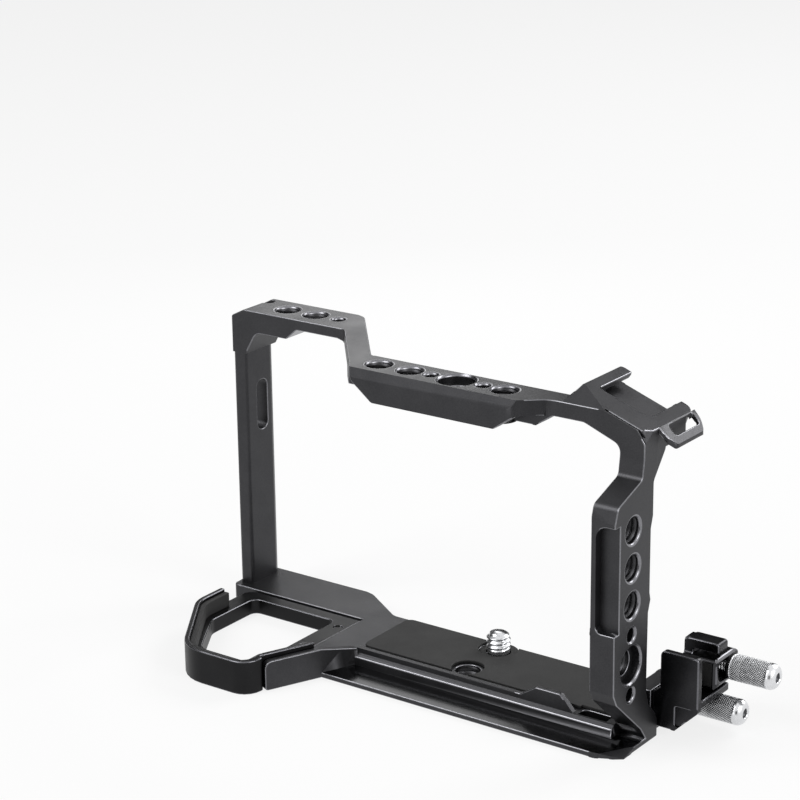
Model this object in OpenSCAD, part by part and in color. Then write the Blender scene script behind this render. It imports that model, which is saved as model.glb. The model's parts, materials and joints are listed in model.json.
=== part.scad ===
// Camera cage: a machined frame that a compact mirrorless camera screws into,
// with a tilted accessory shoe, a quick-release foot and a cable clamp.
// The lens axis is the plane x = 0, the underside is z = 0, and +Y points away from the lens.

/* [Frame] */
// Height of the top bar's face above the underside
top_z = 83; // [80:0.5:90]
// Lens axis to the outer face of the side plate
right_reach = 53.5; // [52:0.5:58]
// Lens axis to the outer face of the left post
left_reach = 86; // [84:0.5:92]
// Thickness of the side plate
side_t = 6.7; // [6:0.1:7.5]
// Thickness of the left post
post_t = 4.6; // [3.8:0.1:5.4]
// Depth of the top bar over the lens
front_bar_depth = 11.6; // [11:0.1:13]
// Height of the top bar over the lens
front_bar_h = 7; // [6:0.1:8]
// Depth of the bar over the dials
back_bar_depth = 12.8; // [12:0.1:15]
// Thickness of the bar over the dials
back_bar_t = 5.9; // [5.2:0.1:7]
// How far the bar over the dials is set back from the front bar
bar_setback = 26.1; // [24:0.1:28]
// Width of the slanted strut between the two bars
strut_w = 5.9; // [5:0.1:8]

/* [Quick-release foot] */
// Width of the foot, front edge to rear edge
foot_depth = 38; // [37:0.5:40]
// Thickness of the foot's edge
foot_edge = 1.4; // [1.2:0.1:2]
// Height of the floor that carries the camera
floor_z = 4.7; // [4.5:0.1:5.2]
// Depth of the ledge along the foot's front
front_ledge = 8.8; // [8:0.1:9]
// Depth of the ledge along the foot's rear
rear_ledge = 3.6; // [3:0.1:4.2]

/* [Threads and holes] */
// Outside diameter of the 1/4 inch accessory thread
quarter_d = 6.35; // [6.35:0.01:6.35]
// Distance between neighbouring accessory threads
hole_pitch = 9.35; // [9:0.05:10]
// Distance between the two locating holes of a pair
locating_pitch = 15.24; // [15.24:0.01:15.24]
// Diameter of a locating hole
locating_d = 3.3; // [3:0.1:3.6]
// Diameter of the step round a locating pair's thread
step_d = 9.2; // [8.6:0.1:9.8]
// Depth of that step
step_depth = 2.4; // [1.8:0.1:3]
// Bevel round the mouth of every hole
hole_bevel = 0.45; // [0.2:0.05:0.6]

/* [Accessory shoe] */
// Slope of the shoe
shoe_tilt = 19.6; // [18:0.1:22]
// Overall width across the rails
shoe_w = 21.7; // [21.4:0.1:23]
// Length of the shoe behind the arm that carries it
shoe_len = 18.6; // [17:0.1:22]
// Width of the slot that an accessory's foot slides in
shoe_slot_w = 18.6; // [18.4:0.1:18.9]
// Height of that slot
shoe_slot_h = 2.1; // [2:0.05:2.3]
// Gap between the rails' lips
shoe_gap = 14.4; // [13:0.1:15]

/* [Cable clamp] */
// Width of the clamp's channel and jaw, along the thumb screw
clamp_w = 7; // [6:0.1:9]
// Width of the cable channel when the jaw is closed
channel_w = 6.4; // [5:0.1:7]
// Travel of the jaw
jaw_travel = 3.7; // [3:0.1:4.2]
// Diameter of the thumb screws' knurled part
knob_d = 6.6; // [6:0.1:6.8]
// Length of a thumb screw's head
knob_len = 12.3; // [10:0.1:16]
// Diameter of a thumb screw's thread
thumb_d = 4; // [3.5:0.1:4.2]

/* [Camera screw and key] */
// Diameter of the camera screw's head
screw_head_d = 12.4; // [11:0.1:13]
// How far the camera screw stands up above the floor
screw_reach = 5.2; // [4.6:0.1:6]
// Length of the stowed key
key_len = 34; // [30:0.5:36]
// Width of the stowed key
key_w = 8.4; // [7.5:0.1:9]
// Thickness of the stowed key
key_t = 1.6; // [1.3:0.1:1.8]

/* [Hidden] */
$fn = 48;
// How far a cut runs past the face it opens
over = 1;
// Least radius that an outline moved inwards keeps
least_r = 0.05;
// Small round that breaks a corner, and the usual one on the frame
fine_r = 0.4;
corner_r = 1.5;

// Reference planes
datum_to_socket = 13;
foot_y0 = -3.5;
foot_y1 = foot_y0 + foot_depth;
wall_y0 = foot_y0 + front_ledge;
wall_y1 = foot_y1 - rear_ledge;
side_x = right_reach - side_t;
post_x = post_t - left_reach;

// Clearances
screw_clear = 0.08;
slide_clear = 0.1;
fit_room = 0.3;
seam = 0.35;

// Arm that carries the shoe
arm_y0 = 7.1;
arm_y1 = 11.8;
arm_t = 4;
// Shoe: thicknesses, the rails and the ramp at the slot's front end
shoe_top_z = top_z - arm_t;
shoe_floor_t = 1.6;
shoe_lip_t = 1.6;
shoe_h = shoe_floor_t + shoe_slot_h + shoe_lip_t;
shoe_y1 = arm_y1 + shoe_len;
right_lip_w = 4;
rail_flare = 1.36;
slot_centre = -right_lip_w - shoe_gap / 2;
arm_x = right_reach - (shoe_w + rail_flare) * cos(shoe_tilt) - shoe_h * sin(shoe_tilt);
slot_in = 7.2;
slot_ramp_in = [3.6, 7.7];
slot_ramp_r = 2;
rail_r = 0.5;
rail_end_r = 2.8;
lead_in = 0.7;

// Bars: places, the slanted strut and the arm that carries the shoe
bar_y0 = 1.2;
bar_y1 = bar_y0 + front_bar_depth;
bar_x0 = -26.75;
bar_x1 = 20.4;
bar_turn_r = 4;
strut_lean = 50.6;
arm_run = 2.4;
arm_turn_r = 6;
back_y0 = bar_y0 + bar_setback;
back_y1 = back_y0 + back_bar_depth;
// Front bar: skirt along its lower edge, bevel along its upper edge and its ends
skirt_h = 1.1;
skirt_t = 4.6;
bevel_h = 2.4;
bevel_d = 0.9;
bar_drop = front_bar_h + skirt_h;
body_rise_in = [6, 1.5];
left_slant_y = 7;
left_slant_shares = [[-0.76, 1.1, 0], [-0.76, 0.2, 0], [-0.246, 0.2, 0], [0.784, 1, 0], [0.784, 1.1, 0]];
right_slant_y = 5.5;
right_slant_shares = [[0.988, 1.1, 0], [0.988, 0.494, 0], [0.123, 0.494, 0.247], [-0.617, 1, 0],
    [-0.617, 1.1, 0]];
// Bar over the dials: end bevel, arch, drop to the post and the notch at its corner
end_bevel = [4.3, 2.2];
drop_h = 12.2;
drop_run = 3.6;
arch_x0 = -67.5;
arch_x1 = -50.5;
arch_rise = 3;
arch_run = [3.5, 4];
notch_len = 6.4;
notch_y = [4.4, 0.9];
notch_depth = 2.4;
notch_r = 1.6;
// Holes in the bars
hole_in = 6.4;
back_hole_in = 6.6;
hole_y = bar_y0 + hole_in;
back_hole_y = back_y0 + back_hole_in;
front_stepped_x = 0.8;
front_hole_x = 14.75;
front_pair_x = -13.05;
back_pair_x = -62.5;
back_small_x = -55;

// Side plate: its band as shares of the band's depth, the bar's height and the plate's thickness
band_y0 = -5.6;
band_depth = 17;
band_front_shares = [[0.118, 0.181, 0.3], [0.03, 0.217, 0.22], [0.006, 0.729, 0.37],
    [0.082, 0.777, 0.3], [0.706, 0.823, 0.22]];
band_rear_shares = [[1.329, 0.916, 0.15], [1.329, 0.88, 0.22], [1.018, 0.801, 0.3], [1.018, 0.699, 0],
    [0.965, 0.663, 0], [0.965, 0.47, 0.12], [0.994, 0.446, 0.09], [0.935, 0.41, 0.09],
    [0.924, 0.164, 0.15], [1, 0.119, 0.15], [1.176, 0.081, 0.15]];
band_shoulder = 1.9;
arm_drop = 10;
arm_round_r = 3;
arm_knee = [7, 2.2];
knee_r = 2.5;
side_hole_y = 2.7;
side_hole_z_shares = [0.687, 0.28];
// Long recess down the plate's outer front corner
recess_in = 1.5;
recess_x = side_x + recess_in;
recess_y = -3.1;
recess_z_shares = [0.398, 0.719];
recess_r = 3;
recess_lean = 14;

// Slanted face in front of the left rail, groove behind the arm's front edge, facet at its end
ramp_lean = 28.5;
groove_lip = 0.4;
groove_w = 0.7;
groove_depth = 1.2;
facet_w = 2.2;
facet_h = 2.35;
facet_d = 4.1;
// Strap loop beside the right rail
loop_slope = 45;
loop_w = 5.6;
loop_t = 1.6;
loop_root = 0.6;
loop_y = [13.5, 30];
loop_corner_shares = [[0.5, 0.018, 0.27], [1, 0.145, 0.27], [1, 0.86, 0.36], [0.46, 1, 0.27]];
loop_slot = [0.35, 3.5];
loop_slot_y = [17.1, 28.6];
loop_slot_r = 1.1;

// Left post: slot for a strap and the relief down its outer face
strap_slot = [14, 4.4];
strap_slot_down = 28;
strap_slot_z = top_z - strap_slot_down;
strap_slot_y = back_y0 + back_bar_depth / 2;
strap_slot_r = 2;
relief_low = 10;
relief_under_slot = 13;
relief_z = [relief_low, strap_slot_z - relief_under_slot];
relief_inset = 3;
relief_depth = 1;

// Foot and floor: slanted corner, front band, raised wall, pocket and the clamp's wall
corner_low_shares = [[0.104, 0.03], [0.7, 0.571], [1, 1]];
corner_high_share = [0.27, 0.114];
corner_skin = 0.1;
floor_x0 = -31;
band_h = 3.6;
band_top_h = 4.5;
band_bevel = 1.2;
under_side_run = [4.9, 2.5];
hump_x_shares = [0.374, 0.456, 0.589, 0.665];
hump_low = 5.8;
hump_high = 8.6;
hump_end = 4.3;
hump_t = 1.6;
hump_tail = 1;
pocket_x = 44.5;
pocket_y = [0.2, 4.7];
wall_in = 2;
wall_x = right_reach - wall_in;
wall_y = 15.6;
wall_top_z = 11.3;
rear_arm_extra = 3;
rear_arm_y = back_y0 - rear_arm_extra;
rear_arm_x = [-36, -50];
rear_arm_r = [4, 6];

// Wing beside the grip and the tray under it
wing_start = [-34, foot_y0];
wing_end = [-40.6, -18];
wing_t = 2;
wing_h = 7.8;
wing_back = 10.6;
wing_back_h = 5.8;
wing_r = [0.8, 2, 3];
wing_floor = [2.4, -2.5];
gap_x = -41.4;
tray_floor = 4.2;
tray_h = 9;
tray_rim = 1.4;
tray_liner = 1.5;
tray_y0 = -23.7;
tray_x0 = -80;
tray_nose_x = -41.5;
tray_turn_x = -63.2;
tray_turn_y = 1.5;
tray_turn_r = 11.5;
tray_nose_r = 5;
tray_side_r = 10;
tray_rim_y1 = 12;
tray_nose_step = [0.6, 1.2];
liner_drop = 0.8;
liner_end = 6;
door_in = 5;
door_y = [20, 2, -13.5];
door_x = [-65.5, -47.6];
door_r = [2, 5, 4, 3];
tab_t = 1.5;
tab_len = 5.6;
tab_half_w = 3;
tab_r = 2;
tray_screw_in = 3;
tray_screw_x = gap_x - tray_screw_in;
tray_screw_ys = [3, 17];
tray_screw_d = 2.5;
tray_screw_sink = 0.05;
hex_w = 1.5;

// Camera screw, its seat, washer and ring
screw_y = 27;
seat_depth = 2.8;
seat_room = 0.6;
screw_head_h = 2.1;
head_bevel = [0.4, 0.2];
screw_slot = [1.4, 1.1];
neck_d = 5.8;
neck_rise = 0.9;
thread_z = floor_z + neck_rise;
tip_bevel = 0.8;
screw_washer_t = 0.5;
ring_t = 0.9;
ring_d = 10.4;
// Soft pad on the floor
pad_t = 0.8;
pad_end_in = [10.9, 2.8];
pad_x = [gap_x + pad_end_in[0], side_x - pad_end_in[1]];
pad_in = [4.2, 1];
pad_y0 = wall_y0 + pad_in[0];
pad_y1 = wall_y1 - pad_in[1];
pad_r = 2;
pad_socket_room = 2;
// Key and magnets
key_x0 = 10.5;
key_y = 24.5;
key_waist_shares = [0.55, 0.7];
key_blade_share = 0.36;
key_end_r = 3.5;
key_side_r = 5;
key_hole_d = 3.4;
key_hole_x = 6;
key_tip = 2.6;
key_tip_share = 0.2;
magnet_d = 4;
magnet_t = 1;
magnet_at = [9, 7];

// Clamp: planes across the bracket, its walls, floor and lip
clamp_out = [1, 3.4];
clamp_x0 = wall_x + slide_clear;
clamp_x1 = right_reach + clamp_out[0];
clamp_x2 = right_reach + clamp_out[1];
clamp_x3 = clamp_x2 + clamp_w;
clamp_behind = 0.9;
clamp_y0 = wall_y + clamp_behind;
clamp_front_t = 2;
clamp_floor_z = 10.6;
clamp_floor_t = 2;
clamp_floor_y1 = 32;
clamp_bottom = 2;
clamp_top = 22;
front_corner = [6.2, 6];
front_step = [1, 1.6];
front_r = [0.5, 0.8, 1, 1.2, 0.6];
foot_back_y = 33;
lip_z = 20;
lip_top = 22.4;
lip_hang = 4;
lip_y0 = 26.3;
lip_y1 = 31;
lip_r = [0.6, 0.5, 0.8, 1.6];
clamp_back = 35.6;
inner_r = [1.5, 1, 0.8, 1.2];
back_rise = 0.6;
mark_x_shares = [0.5, 0.62, 0.87];
mark_z = [3.2, 6.6, 8.4];
mark_depth = 0.4;
// Jaw, pads and the long hole for the thumb screw
jaw_y0 = clamp_y0 + clamp_front_t + channel_w;
jaw_z0 = clamp_floor_z + 2 * slide_clear;
jaw_z1 = 18.5;
jaw_r = [0.6, 1.4, 1.8, 1.2];
jaw_bevel_w = 0.7;
jaw_pad_t = 0.8;
jaw_pad_in = [0.8, 0.9, 1];
channel_pad_top = 2.4;
clamp_screw_y = 32.4;
clamp_screw_z = 14.8;
slot_h = 4.9;
slot_back = 0.3;
slot_r = 1.6;
jaw_slot_y0 = clamp_screw_y - thumb_d / 2 - jaw_travel - slide_clear;
jaw_slot_y1 = clamp_screw_y + thumb_d / 2 + slot_back;
jaw_end = 1.5;
jaw_y1 = jaw_slot_y1 + jaw_end;
// Thumb screws, washers and dowels
bracket_screw_y = 29;
bracket_screw_z = 5;
washer_t = 0.6;
bracket_washer_t = 1;
washer_in = 0.3;
head_edge = 0.5;
dome = 2.4;
dome_share = 0.62;
end_hole_d = [2.4, 3.2];
end_hole_depth = [0.9, 0.4];
screw_short = [0.2, 1];
pin_d = 2;
pin_ys = [19.5, 24];
pin_seat = 3;
pin_len = 5.4;

// Direction from p to q, of length one
function way(p, q) = (q - p) / norm(q - p);
// Points of the arc that rounds corner b, between neighbours a and c
function corner_arc(a, b, c, r, n) =
    let (u = way(b, a), v = way(b, c), half = acos(u * v) / 2,
        m = b + (u + v) / norm(u + v) * r / sin(half),
        s = b + u * r / tan(half), e = b + v * r / tan(half),
        a0 = atan2(s.y - m.y, s.x - m.x), turn = atan2(e.y - m.y, e.x - m.x) - a0,
        sweep = turn > 180 ? turn - 360 : turn < -180 ? turn + 360 : turn)
    [for (i = [0:n]) m + r * [cos(a0 + sweep * i / n), sin(a0 + sweep * i / n)]];
// Outline with rounded corners, from points [x, y, radius]
function rounded(pts, n = 5) =
    [for (i = [0:len(pts) - 1])
        let (k = len(pts), p = pts[i], q = pts[(i + k - 1) % k], s = pts[(i + 1) % k])
        each p[2] == 0 ? [[p.x, p.y]] : corner_arc([q.x, q.y], [p.x, p.y], [s.x, s.y], p[2], n)];
// Outline [x, y, radius] moved inwards by d, its points in counter-clockwise order
function inset(pts, d) =
    [for (i = [0:len(pts) - 1])
        let (k = len(pts), p = pts[i], q = pts[(i + k - 1) % k], s = pts[(i + 1) % k],
            u = way([q.x, q.y], [p.x, p.y]), v = way([p.x, p.y], [s.x, s.y]),
            m = ([-u.y, u.x] + [-v.y, v.x]) / (1 + u * v) * d,
            hollow = u.x * v.y - u.y * v.x < 0)
        [p.x + m.x, p.y + m.y, p[2] == 0 ? 0 : max(least_r, hollow ? p[2] + d : p[2] - d)]];
// Points from shares [x, y, radius] of a size, set off from a corner
function shared(shares, corner, size) =
    [for (s = shares) [corner.x + s[0] * size[0], corner.y + s[1] * size[1], s[2] * size[2]]];

// Outline in plan, raised from z0 to z1
module plan(pts, z0, z1) {
    translate([0, 0, z0]) linear_extrude(z1 - z0) polygon(rounded(pts));
}
// Outline seen from the front, from y0 back to y1
module front_view(pts, y0, y1) {
    translate([0, y1, 0]) rotate([90, 0, 0]) linear_extrude(y1 - y0) polygon(rounded(pts));
}
// Outline seen from the side, from x0 out to x1
module side_view(pts, x0, x1) {
    translate([x0, 0, 0]) rotate([90, 0, 90]) linear_extrude(x1 - x0) polygon(rounded(pts));
}
// Box between two corners
module block(low, high) {
    translate(low) cube(high - low);
}
// Bar of square section along X that bevels an edge at the origin by w
module edge_cut_x(x0, x1, w) {
    rotate([45, 0, 0]) block([x0, -w / sqrt(2), -w / sqrt(2)], [x1, w / sqrt(2), w / sqrt(2)]);
}
// Hole down from z, through the given depth, with a bevelled mouth
module hole(d, depth) {
    translate([0, 0, -depth]) cylinder(d = d, h = depth + over);
    translate([0, 0, -hole_bevel]) cylinder(d1 = d, d2 = d + 2 * hole_bevel, h = hole_bevel);
    cylinder(d = d + 2 * hole_bevel, h = over);
}
// Thread between two locating holes, the pair lying along the local X
module locating_pair(depth) {
    hole(quarter_d, depth);
    hole(step_d, step_depth);
    for (s = [-1, 1]) translate([s * locating_pitch / 2, 0, 0]) hole(locating_d, depth);
}
module placed() {
    translate([0, -datum_to_socket, 0]) children();
}

// Left edge of the slanted strut at y, and the strut's width along X
function strut_x(y) = bar_x0 - (y - bar_y0) / tan(strut_lean);
function strut_run() = strut_w / sin(strut_lean);
// Outline of the two bars and the strut that joins them
module bar_outline(z0, z1) {
    plan([
        [bar_x0, bar_y0, corner_r], [bar_x1, bar_y0, bar_turn_r], [arm_x - arm_run, arm_y0, arm_turn_r],
        [arm_x, arm_y0, 0], [arm_x, bar_y1, 0],
        [strut_x(bar_y1) + strut_run(), bar_y1, knee_r],
        [strut_x(back_y1) + strut_run(), back_y1, bar_turn_r],
        [-left_reach, back_y1, corner_r], [-left_reach, back_y0, fine_r],
        [strut_x(back_y0), back_y0, corner_r]], z0, z1);
}

// Bars over the lens and the dials, with the strut and the drop at the left end
module top_bar() {
    low = top_z - back_bar_t;
    high = low + arch_rise;
    color("#3a3a3a") difference() {
        intersection() {
            bar_outline(top_z - drop_h, top_z);
            union() {
                // front bar with its skirt, higher at the end that meets the arm
                intersection() {
                    side_view([[bar_y0, top_z - bar_drop, fine_r], [bar_y0, top_z, 0], [bar_y1, top_z, 0],
                        [bar_y1, top_z - front_bar_h, 0], [bar_y0 + skirt_t, top_z - front_bar_h, 0],
                        [bar_y0 + skirt_t, top_z - bar_drop, 0]], strut_x(bar_y1), arm_x);
                    front_view([[strut_x(bar_y1), top_z - bar_drop, 0], [strut_x(bar_y1), top_z, 0],
                        [arm_x, top_z, 0], [arm_x, top_z - arm_t, 0],
                        [arm_x - body_rise_in[1], top_z - arm_t, corner_r],
                        [arm_x - body_rise_in[0], top_z - front_bar_h, corner_r],
                        [arm_x - body_rise_in[0] - skirt_h, top_z - bar_drop, 0]], bar_y0, bar_y1);
                }
                // strut, arch over the dial and drop to the post
                front_view([[-left_reach, top_z - drop_h, 0],
                    [-left_reach, top_z - end_bevel.y, corner_r],
                    [-left_reach + end_bevel.x, top_z, corner_r], [arm_x, top_z, 0],
                    [arm_x, top_z - arm_t, 0], [arch_x1 + arch_run[1], top_z - arm_t, 0],
                    [arch_x1, high, corner_r], [arch_x0 + arch_run[0], high, corner_r],
                    [arch_x0, low, over], [post_x + drop_run, low, arch_rise],
                    [post_x, top_z - drop_h, 0]], bar_y0, back_y1);
            }
        }
        // bevel along the front bar's upper edge
        side_view([[bar_y0 - over, top_z - bevel_h, 0], [bar_y0, top_z - bevel_h, 0],
            [bar_y0 + bevel_d, top_z, 0], [bar_y0 + bevel_d, top_z + over, 0],
            [bar_y0 - over, top_z + over, 0]], strut_x(bar_y1), arm_x);
        // slanted lower corners of the skirt
        front_view(shared(left_slant_shares, [bar_x0, top_z], [bar_drop, -bar_drop, bar_drop]),
            bar_y0 - over, bar_y0 + left_slant_y);
        front_view(shared(right_slant_shares, [bar_x1, top_z], [bar_drop, -bar_drop, bar_drop]),
            bar_y0 - over, bar_y0 + right_slant_y);
        // accessory threads and locating holes
        for (x = [front_pair_x, front_pair_x - hole_pitch, front_hole_x])
            translate([x, hole_y, top_z]) hole(quarter_d, bar_drop);
        translate([front_stepped_x, hole_y, top_z]) locating_pair(bar_drop);
        for (x = [back_pair_x, back_pair_x - hole_pitch])
            translate([x, back_hole_y, top_z]) hole(quarter_d, back_bar_t + over);
        translate([back_small_x, back_hole_y, top_z]) hole(locating_d, back_bar_t + over);
        // notch at the rear left corner
        plan([[-left_reach - over, back_y1 - notch_y[0], 0],
            [-left_reach + notch_len, back_y1 - notch_y[0], notch_r],
            [-left_reach + notch_len, back_y1 - notch_y[1], notch_r],
            [-left_reach - over, back_y1 - notch_y[1], 0]], top_z - notch_depth, top_z + over);
    }
}

// Outline of the arm that carries the shoe, seen from the front
function arm_pts() =
    let (slope_x = right_reach - arm_t / tan(shoe_tilt))
    [[arm_x, top_z - arm_t, 0], [arm_x, top_z, 0], [slope_x, top_z, arm_round_r],
        [right_reach - facet_w, shoe_top_z + facet_w * tan(shoe_tilt), fine_r],
        [right_reach, shoe_top_z - facet_h, corner_r], [right_reach, top_z - arm_drop, 0],
        [side_x, top_z - arm_drop, 0], [side_x, top_z - arm_drop + arm_knee[1], knee_r],
        [arm_x + arm_knee[0], top_z - arm_t, arm_round_r]];
// Side plate with its foot, the arm that runs to the top bar and the neck under the shoe
module side_plate() {
    size = [band_depth, top_z, side_t];
    recess_z = recess_z_shares * top_z;
    color("#3a3a3a") difference() {
        union() {
            intersection() {
                side_view(concat([[wall_y0 + under_side_run[1], floor_z, 0]],
                    shared(band_front_shares, [band_y0, 0], size),
                    [[arm_y0, top_z - arm_drop, 0], [arm_y0, shoe_top_z, 0], [arm_y1, shoe_top_z, 0],
                        [arm_y1, shoe_top_z - band_shoulder, 0]],
                    shared(band_rear_shares, [band_y0, 0], size), [[wall_y, floor_z, 0]]),
                    side_x, right_reach);
                front_view([[side_x, floor_z, 0], [right_reach, floor_z, 0],
                    [right_reach, shoe_top_z - facet_h, corner_r], [right_reach - facet_w, shoe_top_z, 0],
                    [side_x, shoe_top_z, 0]], band_y0 - over, foot_y1);
            }
            front_view(arm_pts(), arm_y0, arm_y1);
            shoe_slab(arm_y0 + groove_lip, arm_y1);
        }
        // slanted face in front of the left rail
        ramp_cut();
        // groove behind the arm's front edge
        on_slope() block([-arm_t / sin(shoe_tilt), arm_y0 + groove_lip, -groove_depth],
            [over, arm_y0 + groove_lip + groove_w, over]);
        facet_cut();
        // seat of the accessory shoe
        on_slope() block([-2 * side_t, arm_y1, -shoe_h], [2 * side_t, shoe_y1, over]);
        // outer side, flush with the end of the slope
        block([right_reach, arm_y0, top_z - arm_drop], [right_reach + over, arm_y1, shoe_top_z]);
        // long recess down the outer front corner
        front_view([[recess_x, recess_z[0], corner_r], [right_reach + over, recess_z[0], 0],
            [right_reach + over, recess_z[1], 0], [recess_x, recess_z[1], recess_r]],
            band_y0 - over, recess_y);
        // slanted face between the recess and the inner side
        translate([recess_x, band_y0 + band_front_shares[2][0] * band_depth, recess_z[0]])
            rotate([0, 0, -recess_lean])
                block([-side_t, -side_t, 0], [over, 0, recess_z[1] - recess_z[0] + arm_drop]);
        for (i = [0:2])
            translate([right_reach, side_hole_y, top_z * side_hole_z_shares[0] - i * hole_pitch])
                rotate([0, 90, 0]) hole(quarter_d, side_t + over);
        translate([right_reach, side_hole_y, top_z * side_hole_z_shares[1]])
            rotate([0, 90, 0]) locating_pair(side_t + over);
    }
}

// Shoe on its slope: local X runs down the slope to the right rail's outer top edge
module on_slope() {
    translate([right_reach, 0, shoe_top_z]) rotate([0, shoe_tilt, 0]) children();
}
// The shoe's full section between two places along Y
module shoe_slab(y0, y1) {
    on_slope() front_view([[0, 0, 0], [-shoe_w, 0, rail_r], [-shoe_w - rail_flare, -shoe_h, 0],
        [shoe_h * tan(shoe_tilt), -shoe_h, 0]], y0, y1);
}
// All that lies above the slanted face in front of the left rail
module ramp_cut() {
    translate([0, arm_y0 + groove_lip, top_z]) rotate([ramp_lean, 0, 0])
        block([arm_x - over, 0, 0], [right_reach, shoe_len, shoe_w]);
}
// All that lies outside the facet at the arm's outer end
module facet_cut() {
    p = [right_reach - facet_w, arm_y0, shoe_top_z + facet_w * tan(shoe_tilt)];
    n = cross([right_reach, arm_y0, shoe_top_z - facet_h] - p,
        [right_reach, arm_y0 + facet_d, shoe_top_z] - p);
    translate(p) rotate([0, -asin(n.z / norm(n)), atan2(n.y, n.x)])
        block([0, -arm_drop, -arm_drop], [arm_drop, arm_drop, arm_drop]);
}
// Accessory shoe with the strap loop on its right rail
module accessory_shoe() {
    slot_x = [slot_centre - shoe_slot_w / 2, slot_centre + shoe_slot_w / 2];
    gap_xs = [slot_centre - shoe_gap / 2, slot_centre + shoe_gap / 2];
    ramp_y = [for (d = slot_ramp_in) arm_y1 + d];
    color("#3a3a3a") {
        difference() {
            shoe_slab(arm_y1, shoe_y1);
            on_slope() {
                // slot under the lips, open at the rear
                block([slot_x[0], arm_y1 + slot_in, shoe_floor_t - shoe_h],
                    [slot_x[1], shoe_y1 + over, -shoe_lip_t]);
                // gap between the lips, with the ramp at its front end
                side_view([[ramp_y[0], 0, 0], [ramp_y[1], shoe_floor_t - shoe_h, slot_ramp_r],
                    [shoe_y1 + over, shoe_floor_t - shoe_h, 0], [shoe_y1 + over, over, 0],
                    [ramp_y[0], over, 0]], gap_xs[0], gap_xs[1]);
                // rounded rear corners of both rails
                difference() {
                    block([-shoe_w - rail_flare - over, shoe_y1 - rail_end_r - rail_flare, -shoe_h - over],
                        [shoe_h, shoe_y1 + over, over]);
                    plan([[-shoe_w - rail_flare, arm_y1, 0], [0, arm_y1, 0],
                        [0, shoe_y1, rail_end_r], [-shoe_w, shoe_y1, rail_end_r],
                        [-shoe_w - rail_flare, shoe_y1 - rail_end_r, 0]], -shoe_h - over, over);
                }
                // lead-in bevel under the lips at the open end
                translate([0, shoe_y1, -shoe_lip_t]) edge_cut_x(slot_x[0], slot_x[1], lead_in);
            }
            ramp_cut();
        }
        strap_loop();
    }
}
// Loop for a neck strap, sloping down from the right rail
module strap_loop() {
    reach = loop_w * [cos(loop_slope), -sin(loop_slope)];
    root = [right_reach, shoe_top_z];
    difference() {
        intersection() {
            front_view([[root.x - loop_root, root.y - loop_root - loop_t, 0],
                [root.x - loop_root, root.y - loop_root, 0], [root.x, root.y, 0],
                [root.x + reach.x, root.y + reach.y, fine_r],
                [root.x + reach.x, root.y + reach.y - loop_t, fine_r],
                [root.x, root.y - loop_t, 0]], loop_y[0], loop_y[1]);
            plan(concat([[root.x - loop_root, loop_y[0], 0], [root.x, loop_y[0], 0]],
                shared(loop_corner_shares, [root.x, loop_y[0]],
                    [reach.x, loop_y[1] - loop_y[0], loop_w]),
                [[root.x - loop_root, loop_y[1], 0]]), shoe_top_z - shoe_w, shoe_top_z + over);
        }
        translate([root.x, 0, root.y]) rotate([0, loop_slope, 0])
            plan([[loop_slot[0], loop_slot_y[0], loop_slot_r], [loop_slot[1], loop_slot_y[0], loop_slot_r],
                [loop_slot[1], loop_slot_y[1], loop_slot_r], [loop_slot[0], loop_slot_y[1], loop_slot_r]],
                -loop_w, loop_w);
    }
}

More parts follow.
